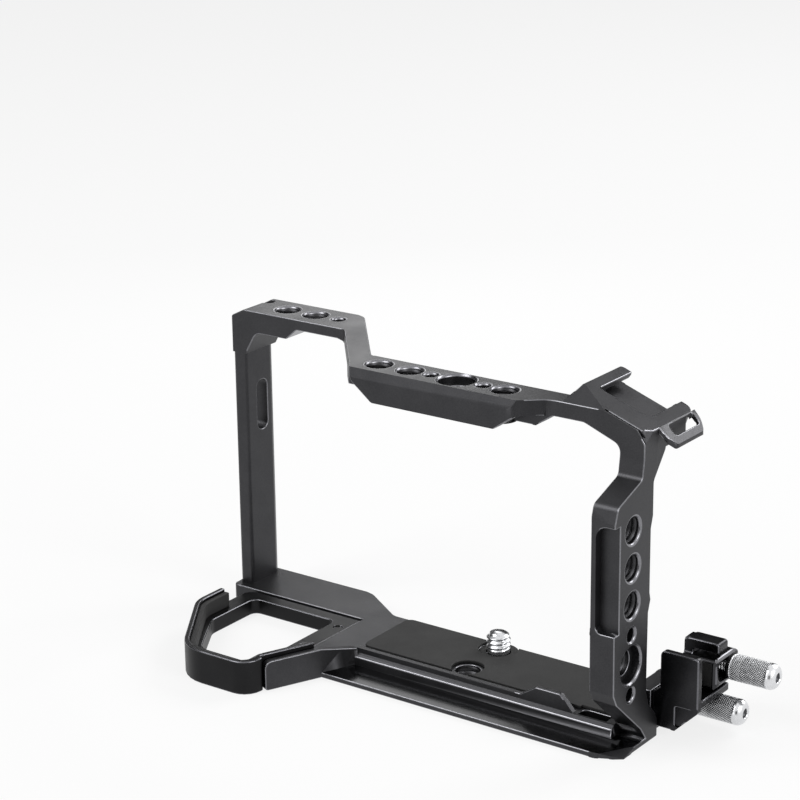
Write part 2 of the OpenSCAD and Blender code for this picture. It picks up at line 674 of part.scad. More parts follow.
// Quick-release foot with the floor, the front wall and the wall that carries the clamp
module base_plate() {
    corner = [side_x, foot_y0];
    size = [side_t, -foot_y0, 0];
    band_y = wall_y0 + band_bevel;
    color("#3a3a3a") difference() {
        union() {
            // foot, with its slanted front corner
            plan([[wing_start.x, wing_start.y, 0], [side_x, foot_y0, 0], [side_x, wall_y, 0],
                [wall_x, wall_y, 0], [wall_x, foot_y1, corner_r], [wing_start.x, foot_y1, 0]],
                0, foot_edge);
            hull() {
                plan(concat([[side_x, foot_y0, 0]],
                    [for (s = corner_low_shares) [corner.x + s.x * size.x, corner.y + s.y * size.y, 0]],
                    [[right_reach, wall_y, 0], [side_x, wall_y, 0]]), 0, corner_skin);
                plan([[side_x, foot_y0, 0],
                    [corner.x + corner_high_share.x * size.x, corner.y + corner_high_share.y * size.y, 0],
                    [right_reach, wall_y0, 0], [right_reach, wall_y, 0], [side_x, wall_y, 0]],
                    foot_edge - corner_skin, foot_edge);
            }
            // floor
            plan([[floor_x0, band_y, 0], [side_x, band_y, 0], [side_x, wall_y1, 0],
                [gap_x, wall_y1, 0], [gap_x, wing_floor[1], 0],
                [wing_start.x - wing_floor[0], wing_floor[1], 0]], 0, floor_z);
            side_view([[wall_y0 + under_side_run[0], 0, 0], [wall_y0 + under_side_run[0], foot_edge, 0],
                [wall_y0 + under_side_run[1], floor_z, 0], [wall_y, floor_z, 0], [wall_y, 0, 0]],
                side_x - over, right_reach);
            // front band with its bevel
            side_view([[wall_y0, 0, 0], [wall_y0, band_h, 0], [band_y, band_top_h, 0], [band_y, 0, 0]],
                wing_start.x + bar_turn_r, side_x);
            // raised front wall
            front_view([[floor_x0, 0, 0], [floor_x0, hump_low, 0],
                [hump_x_shares[0] * right_reach, hump_low, corner_r],
                [hump_x_shares[1] * right_reach, hump_high, corner_r],
                [hump_x_shares[2] * right_reach, hump_high, over],
                [hump_x_shares[3] * right_reach, hump_end, over],
                [hump_x_shares[3] * right_reach + hump_tail, hump_end, 0],
                [hump_x_shares[3] * right_reach + hump_tail, 0, 0]], band_y, band_y + hump_t);
            // wall that carries the clamp
            plan([[side_x, wall_y, 0], [wall_x, wall_y, 0], [wall_x, wall_y1, corner_r],
                [side_x, wall_y1, fine_r]], 0, wall_top_z);
            wing_wall();
            // arm behind the battery door, out to the left post
            plan([[floor_x0, rear_arm_y, 0], [floor_x0, wall_y1, 0],
                [rear_arm_x[0], wall_y1, rear_arm_r[0]], [rear_arm_x[1], back_y1, rear_arm_r[1]],
                [-left_reach, back_y1, corner_r], [-left_reach, rear_arm_y, corner_r]], 0, floor_z);
            // tabs under the grip tray
            for (y = tray_screw_ys)
                plan([[gap_x - tab_len, y - tab_half_w, tab_r], [gap_x + over, y - tab_half_w, 0],
                    [gap_x + over, y + tab_half_w, 0], [gap_x - tab_len, y + tab_half_w, tab_r]],
                    0, tab_t);
        }
        // pocket behind the front band, right of the raised wall
        plan([[hump_x_shares[3] * right_reach + hump_tail, wall_y0 + band_bevel + pocket_y[0], 0],
            [pocket_x, wall_y0 + band_bevel + pocket_y[0], 0],
            [pocket_x, wall_y0 + pocket_y[1], fine_r],
            [hump_x_shares[3] * right_reach + hump_tail, wall_y0 + pocket_y[1], corner_r]],
            foot_edge, floor_z + over);
        // tripod socket
        translate([0, datum_to_socket, 0]) rotate([180, 0, 0]) hole(quarter_d, floor_z + over);
        // camera screw and its seat, with the room for the rubber ring above
        translate([0, screw_y, 0]) {
            translate([0, 0, -over]) cylinder(d = quarter_d + fit_room, h = floor_z + 2 * over);
            rotate([180, 0, 0]) hole(screw_head_d + seat_room, seat_depth);
            translate([0, 0, floor_z - ring_t]) cylinder(d = ring_d, h = ring_t + over);
        }
        // pocket for the key, with a finger notch and the magnets' seats
        plan(inset(key_pts(), -fit_room), -over, key_t + fit_room);
        translate([key_x0, key_y, -over]) cylinder(d = key_w, h = key_t + over);
        for (x = magnet_xs())
            translate([x, key_y, 0]) cylinder(d = magnet_d, h = key_t + fit_room + magnet_t);
        // thread and dowel seats for the cable clamp
        translate([side_x - over, bracket_screw_y, bracket_screw_z]) rotate([0, 90, 0])
            cylinder(d = thumb_d, h = side_t + 2 * over);
        for (y = pin_ys)
            translate([wall_x - pin_seat, y, bracket_screw_z]) rotate([0, 90, 0])
                cylinder(d = pin_d, h = pin_seat + over);
        // grip tray screws
        for (y = tray_screw_ys) translate([tray_screw_x, y, 0]) {
            translate([0, 0, -over]) cylinder(d = tray_screw_d + 2 * slide_clear, h = tab_t + 2 * over);
            cylinder(d1 = 2 * tray_screw_d, d2 = tray_screw_d, h = tray_screw_d / 2);
        }
    }
}
function magnet_xs() = [key_x0 + magnet_at[0], key_x0 + key_len - magnet_at[1]];
// Outline of the flat key that is stowed under the foot
function key_pts() =
    let (x1 = key_x0 + key_len * key_waist_shares[0], x2 = key_x0 + key_len * key_waist_shares[1],
        x3 = key_x0 + key_len, w = key_w * key_blade_share)
    [[key_x0, key_y - key_w / 2, key_end_r], [x1, key_y - key_w / 2, key_side_r],
        [x2, key_y - w, key_side_r], [x3, key_y - w, fine_r], [x3, key_y + w, fine_r],
        [x2, key_y + w, key_side_r], [x1, key_y + key_w / 2, key_side_r],
        [key_x0, key_y + key_w / 2, key_end_r]];

// Upright wing along the side of the grip, rounded at its front top corner
module wing_wall() {
    reach = norm(wing_end - wing_start);
    translate([wing_start.x, wing_start.y, 0])
        rotate([0, 0, atan2(wing_end.y - wing_start.y, wing_end.x - wing_start.x)])
            rotate([90, 0, 0]) linear_extrude(wing_t)
                polygon(rounded([[-wing_back, 0, 0], [reach, 0, wing_r[0]], [reach, wing_h, wing_r[1]],
                    [0, wing_h, wing_r[2]], [-wing_back, wing_back_h, 0]]));
}

// Post at the left end, with the slot for a strap
module left_post() {
    color("#3a3a3a") difference() {
        plan([[-left_reach, back_y0, corner_r], [post_x, back_y0, over],
            [post_x, back_y1 - knee_r, corner_r], [post_x - corner_r, back_y1, corner_r],
            [-left_reach, back_y1, corner_r]], floor_z, top_z - drop_h);
        // slot for a strap
        translate([post_x + over, strap_slot_y, strap_slot_z]) rotate([0, -90, 0])
            linear_extrude(post_t + 2 * over) polygon(rounded([
                [-strap_slot[0] / 2, -strap_slot[1] / 2, strap_slot_r],
                [strap_slot[0] / 2, -strap_slot[1] / 2, strap_slot_r],
                [strap_slot[0] / 2, strap_slot[1] / 2, strap_slot_r],
                [-strap_slot[0] / 2, strap_slot[1] / 2, strap_slot_r]]));
        // relief down the post's outer face
        side_view([[back_y0 + relief_inset, relief_z[0], strap_slot_r],
            [back_y1 - relief_inset, relief_z[0], strap_slot_r],
            [back_y1 - relief_inset, relief_z[1], strap_slot_r],
            [back_y0 + relief_inset, relief_z[1], strap_slot_r]],
            -left_reach - over, relief_depth - left_reach);
    }
}

// Side of the grip tray that runs along the wing
function tray_side() =
    let (d = way(wing_start, wing_end), s = wing_start + (wing_t + seam) * [d.y, -d.x],
        f = function(y) s + d * (y - s.y) / d.y)
    [f(wing_floor[1] - seam), f(wing_end.y + over)];
// Outline of the grip tray, and the outline that bounds the inside of its rim
function tray_pts() = [
    [tray_turn_x, tray_y0, tray_turn_r], [tray_nose_x, tray_y0, tray_nose_r],
    [tray_nose_x, wing_end.y, fine_r], [tray_side()[1].x, tray_side()[1].y, 0],
    [tray_side()[0].x, tray_side()[0].y, fine_r], [gap_x - seam, tray_side()[0].y, 0],
    [gap_x - seam, rear_arm_y - seam, 0], [tray_x0, rear_arm_y - seam, arch_rise],
    [tray_x0, tray_turn_y, tray_side_r]];
function tray_inner() = [
    [tray_turn_x, tray_y0, tray_turn_r], [tray_nose_x - tray_nose_step[0], tray_y0, tray_nose_r],
    [tray_nose_x - tray_nose_step[0], tray_side()[1].y + tray_nose_step[1], 0],
    [tray_side()[0].x, tray_side()[0].y, 0], [tray_side()[0].x, back_y1, 0],
    [tray_x0, back_y1, 0], [tray_x0, tray_turn_y, tray_side_r]];
// Tray under the grip, open below the battery door
module grip_tray() {
    color("#2b2b2b") difference() {
        union() {
            plan(tray_pts(), 0, tray_floor);
            intersection() {
                plan(tray_pts(), 0, tray_h);
                block([tray_x0 - over, tray_y0 - over, 0], [0, tray_rim_y1, tray_h]);
            }
        }
        plan(inset(tray_inner(), tray_rim), tray_floor, tray_h + over);
        plan([[tray_x0 + door_in, door_y[0], door_r[0]], [tray_x0 + door_in, door_y[1], door_r[1]],
            [door_x[0], door_y[2], door_r[2]], [door_x[1], door_y[2], door_r[3]],
            [door_x[1], door_y[0], door_r[0]]], -over, tray_floor + over);
        for (y = tray_screw_ys) {
            plan([[gap_x - tab_len - fit_room, y - tab_half_w - fit_room, tab_r],
                [gap_x, y - tab_half_w - fit_room, 0], [gap_x, y + tab_half_w + fit_room, 0],
                [gap_x - tab_len - fit_room, y + tab_half_w + fit_room, tab_r]], -over, tab_t);
            translate([tray_screw_x, y, 0]) cylinder(d = tray_screw_d, h = tray_floor + over);
        }
    }
}
// Soft liner inside the tray's rim
module grip_tray_liner() {
    color("#141414") difference() {
        intersection() {
            plan(inset(tray_inner(), tray_rim), tray_floor, tray_h - liner_drop);
            block([tray_x0 - over, tray_y0 - over, 0], [0, tray_rim_y1, tray_h]);
        }
        plan(inset(tray_inner(), tray_rim + tray_liner), tray_floor - over, tray_h);
        block([tray_side()[0].x - liner_end, tray_side()[0].y, 0], [0, tray_rim_y1, tray_h]);
    }
}
// Countersunk screws that hold the grip tray
module grip_tray_screws() {
    color("#202020") for (y = tray_screw_ys) translate([tray_screw_x, y, tray_screw_sink]) difference() {
        union() {
            cylinder(d1 = 2 * (tray_screw_d - slide_clear), d2 = tray_screw_d,
                h = tray_screw_d / 2 - slide_clear);
            cylinder(d = tray_screw_d, h = tray_floor - fit_room);
        }
        translate([0, 0, -over]) cylinder(d = hex_w, h = 2 * over, $fn = 6);
    }
}
// Soft pad under the held camera
module base_pad() {
    color("#141414") difference() {
        plan([[pad_x[0], pad_y0, pad_r], [pad_x[1], pad_y0, pad_r], [pad_x[1], pad_y1, pad_r],
            [pad_x[0], pad_y1, pad_r]], floor_z, floor_z + pad_t);
        translate([0, screw_y, floor_z - over]) cylinder(d = ring_d, h = pad_t + 2 * over);
        translate([0, datum_to_socket, floor_z - over])
            cylinder(d = quarter_d + pad_socket_room, h = pad_t + 2 * over);
        plan([[hump_x_shares[3] * right_reach, wall_y0, 0], [side_x, wall_y0, 0],
            [side_x, wall_y0 + pocket_y[1] + seam, 0],
            [hump_x_shares[3] * right_reach, wall_y0 + pocket_y[1] + seam, 0]], 0, tray_h);
    }
}
// Camera screw: slotted head, smooth neck and 1/4 inch thread
module camera_screw() {
    r = screw_head_d / 2;
    z0 = seat_depth - screw_washer_t - screw_head_h;
    z1 = z0 + screw_head_h;
    z2 = floor_z + screw_reach;
    color("#c8c8c8") translate([0, screw_y, 0]) difference() {
        rotate_extrude() polygon([[0, z0], [r - head_bevel[0], z0], [r, z0 + head_bevel[0]],
            [r, z1 - head_bevel[1]], [r - head_bevel[1], z1], [neck_d / 2, z1],
            [neck_d / 2, thread_z], [quarter_d / 2, thread_z], [quarter_d / 2, z2 - tip_bevel],
            [quarter_d / 2 - tip_bevel, z2], [0, z2]]);
        block([-screw_head_d, -screw_slot[0] / 2, z0 - over],
            [screw_head_d, screw_slot[0] / 2, z0 + screw_slot[1]]);
    }
}
// Flat washer over the camera screw's head
module screw_washer() {
    color("#1c1c1c") translate([0, screw_y, seat_depth - screw_washer_t]) difference() {
        cylinder(d = screw_head_d, h = screw_washer_t);
        translate([0, 0, -over]) cylinder(d = neck_d + 2 * screw_clear, h = screw_washer_t + 2 * over);
    }
}
// Rubber ring in the floor that keeps the camera screw from dropping out
module screw_ring() {
    color("#181818") translate([0, screw_y, floor_z - ring_t]) difference() {
        cylinder(d = ring_d, h = ring_t);
        translate([0, 0, -over]) cylinder(d = quarter_d + 2 * screw_clear, h = ring_t + 2 * over);
    }
}
// Flat key with a screwdriver tip, held under the foot by magnets
module stowed_key() {
    z0 = fit_room / 2;
    x1 = key_x0 + key_len;
    color("#b4b4b4") difference() {
        plan(key_pts(), z0, z0 + key_t);
        translate([key_x0 + key_hole_x, key_y, -over]) cylinder(d = key_hole_d, h = key_t + 2 * over);
        // ground tip
        for (m = [0, 1]) translate([0, key_y + key_w, z0 + key_t / 2]) mirror([0, 0, m])
            rotate([90, 0, 0]) linear_extrude(2 * key_w) polygon([
                [x1 - key_tip, key_t / 2], [x1 + over, key_t * key_tip_share], [x1 + over, key_t],
                [x1 - key_tip, key_t]]);
    }
}
// Magnets over the key
module key_magnets() {
    color("#a8a8a8") for (x = magnet_xs())
        translate([x, key_y, key_t + fit_room]) cylinder(d = magnet_d, h = magnet_t);
}

// Bracket of the cable clamp: front plate, floor, inner wall and the lip over the jaw
module clamp_bracket() {
    in_y = clamp_y0 + over;
    under = clamp_floor_z - clamp_floor_t;
    mark = [for (s = mark_x_shares) clamp_x0 + s * (clamp_x3 - clamp_x0)];
    color("#181818") difference() {
        union() {
            // front plate with its slanted lower corner
            front_view([[clamp_x0, clamp_bottom, front_r[0]],
                [clamp_x3 - front_corner.x, clamp_bottom, front_r[0]],
                [clamp_x3, clamp_bottom + front_corner.y, front_r[1]], [clamp_x3, clamp_top, front_r[2]],
                [clamp_x1 - front_step[0], clamp_top, front_r[3]],
                [clamp_x1 - front_step[0], wall_top_z + front_step[1] - fit_room, front_r[4]],
                [clamp_x0, wall_top_z - fit_room, front_r[4]]], clamp_y0, clamp_y0 + clamp_front_t);
            // inner wall, wider where it bears on the frame
            side_view([[in_y, clamp_bottom, 0], [foot_back_y, clamp_bottom, inner_r[0]],
                [foot_back_y, under, inner_r[1]], [clamp_back, wall_top_z - fit_room, inner_r[1]],
                [in_y, wall_top_z - fit_room, 0]], clamp_x0, clamp_x2);
            side_view([[in_y, under, 0], [clamp_back, under, inner_r[1]],
                [clamp_back, jaw_z1 + back_rise, inner_r[0]], [lip_y1, jaw_z1 + back_rise, inner_r[2]],
                [lip_y1, lip_top, inner_r[3]], [lip_y0, lip_top, inner_r[3]],
                [lip_y0, jaw_z1, inner_r[2]], [in_y, jaw_z1, 0]], clamp_x1, clamp_x2);
            // lip over the jaw
            front_view([[clamp_x1, lip_z - lip_hang, 0], [clamp_x2, lip_z - lip_hang, 0],
                [clamp_x2, lip_z, lip_r[0]], [clamp_x3, lip_z, lip_r[1]],
                [clamp_x3, lip_top, lip_r[2]], [clamp_x1, lip_top, lip_r[3]]], lip_y0, lip_y1);
            // floor under the channel and the jaw
            block([clamp_x1, in_y, under], [clamp_x3, clamp_floor_y1, clamp_floor_z]);
        }
        // shallow recess low on the front
        front_view([[mark[0], mark_z[0], front_r[0]], [mark[1], mark_z[0], front_r[0]],
            [mark[2], mark_z[1], front_r[0]], [mark[2], mark_z[2], front_r[0]],
            [mark[0], mark_z[2], front_r[0]]], clamp_y0 - over, clamp_y0 + mark_depth);
        // thumb screws and dowels
        for (p = [[clamp_screw_y, clamp_screw_z], [bracket_screw_y, bracket_screw_z]])
            translate([clamp_x0 - over, p.x, p.y]) rotate([0, 90, 0])
                cylinder(d = thumb_d, h = clamp_x2 - clamp_x0 + 2 * over);
        for (y = pin_ys) translate([clamp_x0 - over, y, bracket_screw_z]) rotate([0, 90, 0])
            cylinder(d = pin_d, h = pin_len - pin_seat + over);
        // seat of the channel's pad
        block([clamp_x2, clamp_y0 + clamp_front_t - jaw_pad_t, clamp_floor_z],
            [clamp_x3 - jaw_pad_in[2], clamp_y0 + clamp_front_t + over, clamp_top - channel_pad_top]);
    }
}
// Soft pad on the fixed side of the cable channel
module channel_pad() {
    color("#101010") block([clamp_x2, clamp_y0 + clamp_front_t - jaw_pad_t, clamp_floor_z],
        [clamp_x3 - jaw_pad_in[2], clamp_y0 + clamp_front_t, clamp_top - channel_pad_top]);
}
// Dowels that locate the bracket on the frame
module bracket_pins() {
    color("#b8b8b8") for (y = pin_ys) translate([wall_x - pin_seat, y, bracket_screw_z])
        rotate([0, 90, 0]) cylinder(d = pin_d, h = pin_len);
}
// Sliding jaw with the long hole for its thumb screw
module clamp_jaw() {
    color("#181818") difference() {
        side_view([[jaw_y0, jaw_z0, jaw_r[0]], [jaw_y1, jaw_z0, jaw_r[1]], [jaw_y1, jaw_z1, jaw_r[2]],
            [jaw_y0, jaw_z1, jaw_r[3]]], clamp_x2 + slide_clear, clamp_x3);
        side_view([[jaw_slot_y0, clamp_screw_z - slot_h / 2, slot_r],
            [jaw_slot_y1, clamp_screw_z - slot_h / 2, slot_r],
            [jaw_slot_y1, clamp_screw_z + slot_h / 2, slot_r],
            [jaw_slot_y0, clamp_screw_z + slot_h / 2, slot_r]], clamp_x2 - over, clamp_x3 + over);
        // bevels round the outer face
        for (z = [jaw_z0, jaw_z1]) translate([clamp_x3, 0, z]) rotate([0, 0, 90])
            edge_cut_x(jaw_y0 - over, jaw_y1 + over, jaw_bevel_w);
        translate([clamp_x3, jaw_y0, 0]) rotate([0, -90, 0])
            edge_cut_x(jaw_z0 - over, jaw_z1 + over, jaw_bevel_w);
        // seat of the jaw's pad
        jaw_pad_block(over);
    }
}
// Space of the jaw's pad, run past the jaw's face by past
module jaw_pad_block(past) {
    block([clamp_x2 + slide_clear - past, jaw_y0 - past, jaw_z0 + jaw_pad_in[0]],
        [clamp_x3 - jaw_pad_in[2], jaw_y0 + jaw_pad_t, jaw_z1 - jaw_pad_in[1]]);
}
// Soft pad on the jaw
module jaw_pad() {
    color("#101010") jaw_pad_block(0);
}
// Washer under a thumb screw's head, from x out along the screw's axis
module washer(x, t) {
    translate([x, 0, 0]) rotate([0, 90, 0]) difference() {
        cylinder(d = knob_d - washer_in, h = t);
        translate([0, 0, -over]) cylinder(d = thumb_d, h = t + 2 * over);
    }
}
// Thumb screw along +X: thread of the given reach below the head at x = 0
module thumb_screw(reach) {
    r = knob_d / 2;
    t = thumb_d / 2 - screw_clear;
    rotate([0, 90, 0]) difference() {
        rotate_extrude() polygon(concat([[0, -reach], [t - head_edge, -reach], [t, head_edge - reach],
            [t, 0], [r - head_edge, 0], [r, head_edge], [r, knob_len - dome]],
            [for (a = [30:15:90]) [r - dome * dome_share * (1 - cos(a)), knob_len - dome + dome * sin(a)]],
            [[0, knob_len]]));
        translate([0, 0, knob_len - end_hole_depth[0]]) cylinder(d = end_hole_d[0], h = knob_len);
        translate([0, 0, knob_len - end_hole_depth[1]])
            cylinder(d1 = end_hole_d[0], d2 = end_hole_d[1], h = end_hole_depth[1]);
    }
}
module clamp_washer() {
    color("#202020") translate([0, clamp_screw_y, clamp_screw_z])
        washer(clamp_x3 + slide_clear, washer_t);
}
module clamp_thumb_screw() {
    x = clamp_x3 + slide_clear + washer_t;
    color("#c4c4c4") translate([x, clamp_screw_y, clamp_screw_z])
        thumb_screw(x - clamp_x1 - screw_short[0]);
}
module bracket_washer() {
    color("#202020") translate([0, bracket_screw_y, bracket_screw_z]) washer(clamp_x2, bracket_washer_t);
}
module bracket_thumb_screw() {
    x = clamp_x2 + bracket_washer_t;
    color("#c4c4c4") translate([x, bracket_screw_y, bracket_screw_z])
        thumb_screw(x - side_x - screw_short[1]);
}

placed() base_plate();
placed() side_plate();
placed() top_bar();
placed() left_post();
placed() accessory_shoe();
placed() grip_tray();
placed() grip_tray_liner();
placed() grip_tray_screws();
placed() base_pad();
placed() camera_screw();
placed() screw_washer();
placed() screw_ring();
placed() stowed_key();
placed() key_magnets();
placed() clamp_bracket();
placed() bracket_pins();
placed() bracket_washer();
placed() bracket_thumb_screw();
placed() clamp_jaw();
placed() jaw_pad();
placed() channel_pad();
placed() clamp_washer();
placed() clamp_thumb_screw();
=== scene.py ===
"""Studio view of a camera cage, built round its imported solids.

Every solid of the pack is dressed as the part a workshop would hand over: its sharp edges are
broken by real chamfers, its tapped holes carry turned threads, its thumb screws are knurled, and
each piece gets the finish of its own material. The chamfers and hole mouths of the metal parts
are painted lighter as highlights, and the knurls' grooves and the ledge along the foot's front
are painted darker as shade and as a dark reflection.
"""
import json
import logging
import math
from dataclasses import dataclass
from enum import Enum
from typing import Any, Callable, Iterable, Optional

import bmesh
import bpy
from bmesh.types import BMEdge, BMesh, BMFace
from bpy.types import Material, Node, NodeSocket, NodeTree, Object
from mathutils import Matrix, Vector
from mathutils.bvhtree import BVHTree
from mathutils.geometry import intersect_line_line_2d
from mathutils.kdtree import KDTree


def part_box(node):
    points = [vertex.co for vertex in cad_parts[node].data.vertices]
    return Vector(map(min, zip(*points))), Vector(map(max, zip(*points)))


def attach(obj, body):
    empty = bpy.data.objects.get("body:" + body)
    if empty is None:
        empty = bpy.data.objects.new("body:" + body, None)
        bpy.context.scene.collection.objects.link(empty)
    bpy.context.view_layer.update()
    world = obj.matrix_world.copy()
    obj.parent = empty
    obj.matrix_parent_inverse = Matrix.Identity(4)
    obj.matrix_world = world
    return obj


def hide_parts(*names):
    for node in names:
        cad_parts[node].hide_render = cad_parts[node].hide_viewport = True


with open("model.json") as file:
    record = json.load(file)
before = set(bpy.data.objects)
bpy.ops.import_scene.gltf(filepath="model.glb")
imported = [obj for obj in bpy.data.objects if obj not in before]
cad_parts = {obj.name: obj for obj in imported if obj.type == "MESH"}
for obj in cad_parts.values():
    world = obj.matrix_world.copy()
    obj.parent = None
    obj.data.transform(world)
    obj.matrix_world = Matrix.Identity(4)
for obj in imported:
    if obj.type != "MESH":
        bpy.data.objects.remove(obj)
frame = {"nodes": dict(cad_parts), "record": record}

MOUNTS = frame["record"]["mounts"]
log = logging.getLogger("cage")
MM = 0.001

Pair = tuple[float, float]
Point = tuple[float, float, float]
# The radius of a turned skin, in mm, at an angle round its axis.
Radius = Callable[[float], float]
# A ring of a turned skin: its place along the axis, in mm, and its radius.
Ring = tuple[float, Radius]

# Material indices after a piece's main finish, which is 0.
SECOND_FINISH, THIRD_FINISH = 1, 2
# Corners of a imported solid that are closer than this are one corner.
WELD_MM = 0.002
# How strongly large faces keep their own flat shading, out of 100.
FLAT_WEIGHT = 80
# Size of the soft clouds in every finish, and the parts of the noises' range that its tone and
# its roughness are spread over.
CLOUD_MM = 9.0
TONE_RANGE = (0.7, 1.3)
ROUGH_RANGE = (0.3, 0.7)
# Sockets of a mix node that take and give a colour.
MIX_A, MIX_B, MIX_RESULT = 6, 7, 2
WHITE = "ffffff"


class Body(Enum):
    """The moving groups of the cage, by their names in the pack."""

    FRAME = "frame"
    SCREW_SEAT = "screw_seat"
    CAMERA_SCREW = "camera_screw"
    KEY = "key"
    JAW = "jaw"
    JAW_WASHER = "jaw_washer"
    JAW_SCREW = "jaw_screw"
    BRACKET_SEAT = "bracket_seat"
    BRACKET_SCREW = "bracket_screw"


def linear(colour: str) -> tuple[float, float, float, float]:
    """Turns an sRGB hex colour into the linear values that a shader takes.

    Args:
        colour: Six hex digits, such as "3c3c3e".

    Returns:
        Red, green, blue and an alpha of one.
    """
    shares = [int(colour[i:i + 2], 16) / 255 for i in (0, 2, 4)]
    return (*[c / 12.92 if c <= 0.04045 else ((c + 0.055) / 1.055) ** 2.4 for c in shares], 1.0)


def add(tree: NodeTree, kind: str, links: Optional[dict[str, Any]] = None,
        **settings: Any) -> Node:
    """Adds a node with its settings and links.

    Args:
        tree: The material's or the world's node tree.
        kind: The node's type name, without ShaderNode.
        links: Output sockets by the name of the input that each one feeds.
        **settings: Values by attribute name, or by the name of an input with _ for a space.

    Returns:
        The new node.
    """
    node = tree.nodes.new("ShaderNode" + kind)
    for name, value in settings.items():
        if hasattr(node, name):
            setattr(node, name, value)
        else:
            node.inputs[name.replace("_", " ")].default_value = value
    for name, socket in (links or {}).items():
        tree.links.new(socket, node.inputs[int(name) if name.isdigit() else name])
    return node


def empty_material(name: str) -> Material:
    """Makes a material that has no nodes yet."""
    made = bpy.data.materials.new(name)
    made.use_nodes = True
    made.node_tree.nodes.clear()
    return made


def add_object(name: str, mesh: BMesh) -> Object:
    """Makes an object of a mesh, which is freed, and puts it in the scene."""
    data = bpy.data.meshes.new(name)
    mesh.to_mesh(data)
    mesh.free()
    made = bpy.data.objects.new(name, data)
    bpy.context.scene.collection.objects.link(made)
    return made


def box_mesh(centre: Vector, size: Iterable[float]) -> BMesh:
    """Makes the mesh of an upright box, in metres."""
    mesh = bmesh.new()
    bmesh.ops.create_cube(mesh, size=1.0, matrix=Matrix.Translation(centre)
                          @ Matrix.Diagonal((*size, 1)))
    return mesh


@dataclass(frozen=True)
class Finish:
    """A surface: what it is made of, how it was made and how that looks.

    Attributes:
        name: The material's name, its metal or rubber and its process.
        colour, deep: Its colour, and its colour low in the grain, sRGB hex.
        metallic: One for metal, zero for rubber.
        rough, rough_spread: Roughness of the smoothest spots, and how much more the roughest have.
        grain_mm, grain_depth_mm: Size and depth of the grain that shows.
        along: Stretch of the grain along X, for a ground surface.
    """

    name: str
    colour: str
    deep: str
    metallic: float
    rough: float
    rough_spread: float
    grain_mm: float
    grain_depth_mm: float
    along: float = 1.0

    def material(self) -> Material:
        """Makes the material, or gives the one made before."""
        made = bpy.data.materials.get(self.name)
        if made:
            return made
        made = empty_material(self.name)
        tree = made.node_tree
        place = add(tree, "TexCoord")
        laid = add(tree, "Mapping", {"Vector": place.outputs["Object"]},
                   Scale=(1 / self.along, 1, 1))
        grain = add(tree, "TexNoise", {"Vector": laid.outputs["Vector"]},
                    Scale=1 / (self.grain_mm * MM), Detail=2.0, Roughness=0.6)
        cloud = add(tree, "TexNoise", {"Vector": place.outputs["Object"]},
                    Scale=1 / (CLOUD_MM * MM), Detail=3.0, Roughness=0.5)
        blend = add(tree, "Math", {"0": grain.outputs["Fac"], "1": cloud.outputs["Fac"]},
                    operation="ADD")
        tone = add(tree, "MapRange", {"Value": blend.outputs["Value"]},
                   From_Min=TONE_RANGE[0], From_Max=TONE_RANGE[1])
        colour = add(tree, "Mix", {"Factor": tone.outputs["Result"]}, data_type="RGBA")
        colour.inputs[MIX_A].default_value = linear(self.deep)
        colour.inputs[MIX_B].default_value = linear(self.colour)
        rough = add(tree, "MapRange", {"Value": cloud.outputs["Fac"]},
                    From_Min=ROUGH_RANGE[0], From_Max=ROUGH_RANGE[1], To_Min=self.rough,
                    To_Max=self.rough + self.rough_spread)
        bump = add(tree, "Bump", {"Height": grain.outputs["Fac"]},
                   Strength=1.0, Distance=self.grain_depth_mm * MM)
        surface = add(tree, "BsdfPrincipled",
                      {"Base Color": colour.outputs[MIX_RESULT],
                       "Roughness": rough.outputs["Result"], "Normal": bump.outputs["Normal"]},
                      Metallic=self.metallic)
        add(tree, "OutputMaterial", {"Surface": surface.outputs["BSDF"]})
        return made


# The marks of blasting, cutting, grinding and plating are about 0.05 mm wide, which is finer than
# the picture can show. They are drawn coarser, at the grain's size of each finish, and shallow.

# Aluminium, bead-blasted and dyed black: soft grey-black with a fine even grain, paler where it
# is seen at a low angle.
BLASTED = Finish("aluminium_bead_blasted_black_anodised", "464648", "3b3b3d", 1.0, 0.38, 0.08,
                 0.3, 0.012)
# The same metal on its broken edges: cut smoother, and painted lighter than its faces as a
# highlight, so that the edges show as bright lines.
CUT_EDGE_PAINTED_HIGHLIGHT = Finish("aluminium_cut_edge_painted_highlight", "87878b", "727276", 1.0, 0.26, 0.06,
                  0.5, 0.002)
# The same metal on the flat ledge along the foot's front: smooth and near mirror, and painted
# darker than the frame as a dark reflection.
LEDGE_PAINTED_DARK = Finish("aluminium_ledge_painted_dark_reflection", "2e2e30", "262627", 1.0, 0.15, 0.05,
               0.5, 0.002)
# Aluminium with a finer blast and a deeper dye: the tray under the grip is nearly black.
FINE_BLASTED = Finish("aluminium_fine_blasted_deep_black", "2c2c2d", "252526", 1.0, 0.38, 0.06,
                      0.25, 0.006)
# Aluminium at the cut edges of the tray and the clamp: smooth, and painted grey along the edges
# as a highlight.
DARK_EDGE_PAINTED_HIGHLIGHT = Finish("aluminium_dark_cut_edge_painted_highlight", "717175", "5e5e62", 1.0, 0.20, 0.05,
                   0.5, 0.002)
# Aluminium, milled smooth and dyed deep black: darker and glossier than the frame.
MILLED = Finish("aluminium_milled_satin_black_anodised", "3c3c3e", "323234", 1.0, 0.27, 0.06,
                0.4, 0.003)
# Steel with bright nickel: light grey, with soft reflections.
NICKEL = Finish("steel_nickel_plated_bright", "e2e3e5", "d2d3d5", 1.0, 0.20, 0.08, 0.6, 0.002)
# Painted shade on the nickel low between the knurls and in the end's recess: dull grey.
NICKEL_PAINTED_SHADE = Finish("steel_nickel_painted_groove_shade", "58595b", "48494b", 1.0, 0.34, 0.10, 0.6,
                       0.002)
